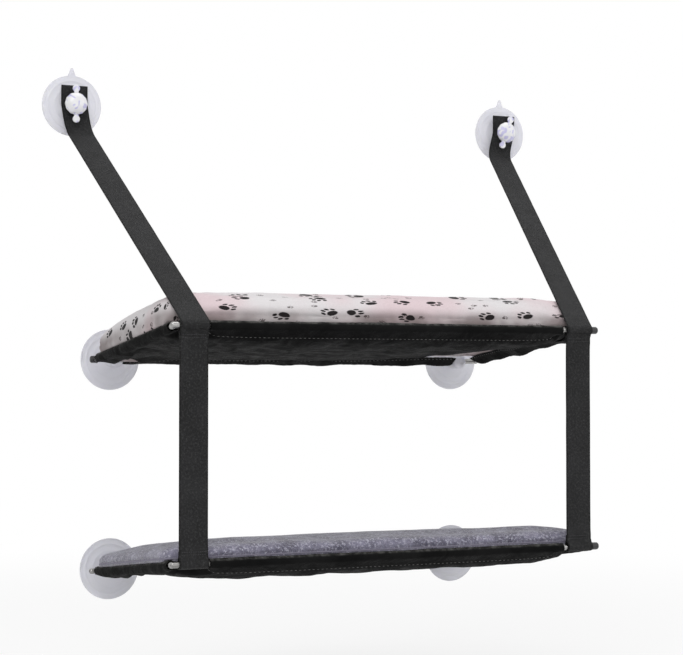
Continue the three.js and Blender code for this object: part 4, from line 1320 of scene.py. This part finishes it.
def mat_cover(level):
    """Shapes a mat: filled, then puckered at its seam, pressed on its bed and under the hangers."""
    form = MATS[level]
    blank = mat_blank(level)
    pad = filled(level, blank)
    bpy.data.objects.remove(blank)
    finished(pad, "SUBSURF", levels=1, render_levels=1)
    seam = form["seam"]
    strap_inner = STRAP_X - WEB_WIDTH / 2
    for v in pad.data.vertices:
        co = v.co
        along, inside = seam_place(co)
        near = math.exp(-abs(co.z - seam) / (2.6 * MM)) * smoothstep(22 * MM, 4 * MM, inside)
        round_it = math.exp(-abs(co.z - seam) / (10 * MM)) * smoothstep(26 * MM, 6 * MM, inside)
        ruck = ripple(along * 1.0, co.z * 0.25, form["seam"] * 90, 0.011) * 1.3 * MM * round_it
        away = Vector((co.x / MAT_HALF_X, (co.y + MAT_MIDDLE) / MAT_HALF_Y, 0))
        big = max(abs(away.x), abs(away.y), 1e-6)
        outwards = [math.copysign(abs(part / big) ** 6, part) for part in (away.x, away.y)]
        away = Vector((*outwards, 0)).normalized()
        lumps = ripple(co.x, co.y, form["seam"] * 50, 0.075) * 1.6 * MM
        lumps += ripple(co.x, co.y, 4.0, 0.03) * 0.5 * MM
        rise = smoothstep(seam, seam + 12 * MM, co.z)
        v.co = co + away * (ruck - 2.2 * MM * near) + Vector((0, 0, lumps * rise))
        if form["dent"] and co.z > seam:
            under = smoothstep(strap_inner - 30 * MM, strap_inner + 1 * MM, abs(co.x))
            limit = hanger_underside(-co.y) - 0.6 * MM
            if v.co.z > limit:
                v.co.z += (max(limit, seam) - v.co.z) * under
        floor = bed(level, v.co.x, -v.co.y)
        if v.co.z < floor:
            v.co.z = floor
    unrolled(pad, form)
    return smoothed(pad, 180)


def unrolled(pad, form):
    """UV map in metres that runs on down the sides, and how low each point lies, for the painted shade low on
    the cover.
    """
    top = form["seam"] + form["top"]

    def place(co):
        down = max(0.0, top - co.z)
        b = (-co.y - MAT_MIDDLE) / MAT_HALF_Y
        a = co.x / MAT_HALF_X
        v = co.y - math.copysign(2.3 * down * smoothstep(0.80, 0.97, abs(b)), b)
        u = co.x + math.copysign(1.6 * down * smoothstep(0.88, 0.985, abs(a)), a)
        return (u, v)

    give_uv(pad, "cover", place)
    low = pad.data.attributes.new("low", "FLOAT", "POINT")
    bright, dark = form["seam"] + 0.45 * form["top"], form["seam"] - 5 * MM
    low.data.foreach_set("value", [smoothstep(bright, dark, v.co.z) for v in pad.data.vertices])


def piping(level, cover):
    """Cord sewn round the mat at its seam, on the filled cover's outermost line."""
    form = MATS[level]
    faces = [p.vertices for p in cover.data.polygons]
    skin = BVHTree.FromPolygons([v.co for v in cover.data.vertices], faces)
    path = []
    count = 360
    for i in range(count):
        turn = 2 * math.pi * i / count
        c, s = math.cos(turn), math.sin(turn)
        a = math.copysign(min(1.0, abs(c) ** 0.16), c)
        b = math.copysign(min(1.0, abs(s) ** 0.16), s)
        inset = 15 * MM * abs(a) ** 8 * abs(b) ** 8
        u = a * (MAT_HALF_X - 5.4 * MM - 3 * MM * (1 - b * b)) - math.copysign(inset, a)
        v = MAT_MIDDLE - b * (MAT_HALF_Y - 5.2 * MM - 3 * MM * (1 - a * a)) + math.copysign(inset, b)
        height = form["seam"] - 1.5 * MM + 0.6 * MM * ripple(u, v, 2.0, 0.03)
        height = max(height, bed(level, u, v) + 1.3 * MM)
        inwards = Vector((-c * MAT_HALF_X, (v - MAT_MIDDLE), 0)).normalized()
        spot, _, _, _ = skin.ray_cast(Vector((u, -v, height)) - inwards * 40 * MM, inwards, 80 * MM)
        path.append(Vector((u, -v, height)) if spot is None else spot + inwards * 0.4 * MM)
    points, faces = tube_along(path, PIPING_RADIUS, PIPING_RADIUS, 10, closed=True)
    return smoothed(faced_out(drawn(level + "_mat_piping", points, faces=faces)), 60)


def mats():
    for level, finish, slot in (("upper", PLUSH, "printed_plush"), ("lower", FLEECE, "grey_fleece")):
        cover = mat_cover(level)
        cord = piping(level, cover) if level == "lower" else None
        placed(cover, tier_matrix(level))
        dress(cover, finish, slot, level + "_tier", level + "_mat")
        if cord:
            dress(placed(cord, tier_matrix(level)), PIPING, "grey_fleece", level + "_tier")


# Studio
FOCAL_PIXELS, PHOTO_WIDTH = 1800, 683


def studio():
    """Plain pale floor, a white surround that the camera, gloss and clear plastic see, and soft lamps."""
    bpy.ops.mesh.primitive_plane_add(size=14, location=(0, 0, 0))
    floor = bpy.context.active_object
    floor.name = "floor"
    placed(floor, Matrix.Translation((0, 0, cad_low.z - 0.12)))
    only(floor)
    bpy.ops.object.mode_set(mode="EDIT")
    bpy.ops.mesh.select_all(action="SELECT")
    bpy.ops.mesh.subdivide(number_cuts=3)
    bpy.ops.object.mode_set(mode="OBJECT")
    material, tree, shader = finish_of("pale_floor")
    settings_on(shader, Roughness=0.9)
    shader.inputs["Base Color"].default_value = (0.92, 0.92, 0.92, 1)
    glow = add(tree, "ShaderNodeEmission")
    seen = seen_ray(tree)
    share = add(tree, "ShaderNodeMixShader")
    far = span(tree, vector_of(tree, "LENGTH", object_place(tree)), 0.7, 2.2, 0.72, 1.0)
    tree.links.new(math_of(tree, "MULTIPLY", seen, far), share.inputs[0])
    tree.links.new(shader.outputs[0], share.inputs[1])
    tree.links.new(glow.outputs[0], share.inputs[2])
    tree.links.new(share.outputs[0], tree.nodes["Material Output"].inputs["Surface"])
    floor.data.materials.append(material)

    world = bpy.data.worlds.new("studio")
    bpy.context.scene.world = world
    world.use_nodes = True
    tree = world.node_tree
    backdrop = tree.nodes["Background"]
    backdrop.inputs["Color"].default_value = (1, 1, 1, 1)
    strength = add(tree, "ShaderNodeMapRange")
    tree.links.new(seen_ray(tree), strength.inputs["Value"])
    strength.inputs["To Min"].default_value = 0.62
    strength.inputs["To Max"].default_value = 1.0
    tree.links.new(strength.outputs["Result"], backdrop.inputs["Strength"])

    for name, place, size, power in (
        ("key_lamp", (-1.5, -2.2, 2.0), 1.6, 26),
        ("fill_lamp", (2.3, -2.4, 0.9), 2.0, 12),
        ("top_lamp", (0.2, -0.4, 2.4), 1.8, 16),
        ("low_lamp", (-0.4, -2.6, -0.2), 1.6, 7),
    ):
        data = bpy.data.lights.new(name, "AREA")
        data.energy = power
        data.size = size
        lamp = bpy.data.objects.new(name, data)
        bpy.context.scene.collection.objects.link(lamp)
        lamp.location = place
        aim = Vector((0, -0.18, 0.0)) - Vector(place)
        lamp.rotation_euler = aim.to_track_quat("-Z", "Y").to_euler()


def seen_ray(tree):
    """1 where the camera, a glossy ray or a transmitted ray looks, else 0."""
    path = add(tree, "ShaderNodeLightPath")
    either = math_of(tree, "MAXIMUM", path.outputs["Is Camera Ray"], path.outputs["Is Glossy Ray"])
    return math_of(tree, "MAXIMUM", either, path.outputs["Is Transmission Ray"])


def camera():
    """The photograph's view: from the left, a little below the upper tier."""
    data = bpy.data.cameras.new("view")
    data.sensor_fit = "HORIZONTAL"
    data.sensor_width = 36
    data.lens = FOCAL_PIXELS / PHOTO_WIDTH * data.sensor_width
    eye = bpy.data.objects.new("view", data)
    bpy.context.scene.collection.objects.link(eye)
    yaw, pitch = 0.4362, 0.0294
    eye.location = (-1.0822, -2.5175, -0.0302)
    look = Vector((math.sin(yaw) * math.cos(pitch), math.cos(yaw) * math.cos(pitch), math.sin(pitch)))
    eye.rotation_euler = look.to_track_quat("-Z", "Y").to_euler()
    bpy.context.scene.camera = eye


camera()
studio()
for tier in LEVELS:
    rods_of(tier)
cups()
top_anchors()
straps()
slings()
mats()

bpy.context.scene.view_settings.view_transform = "Standard"
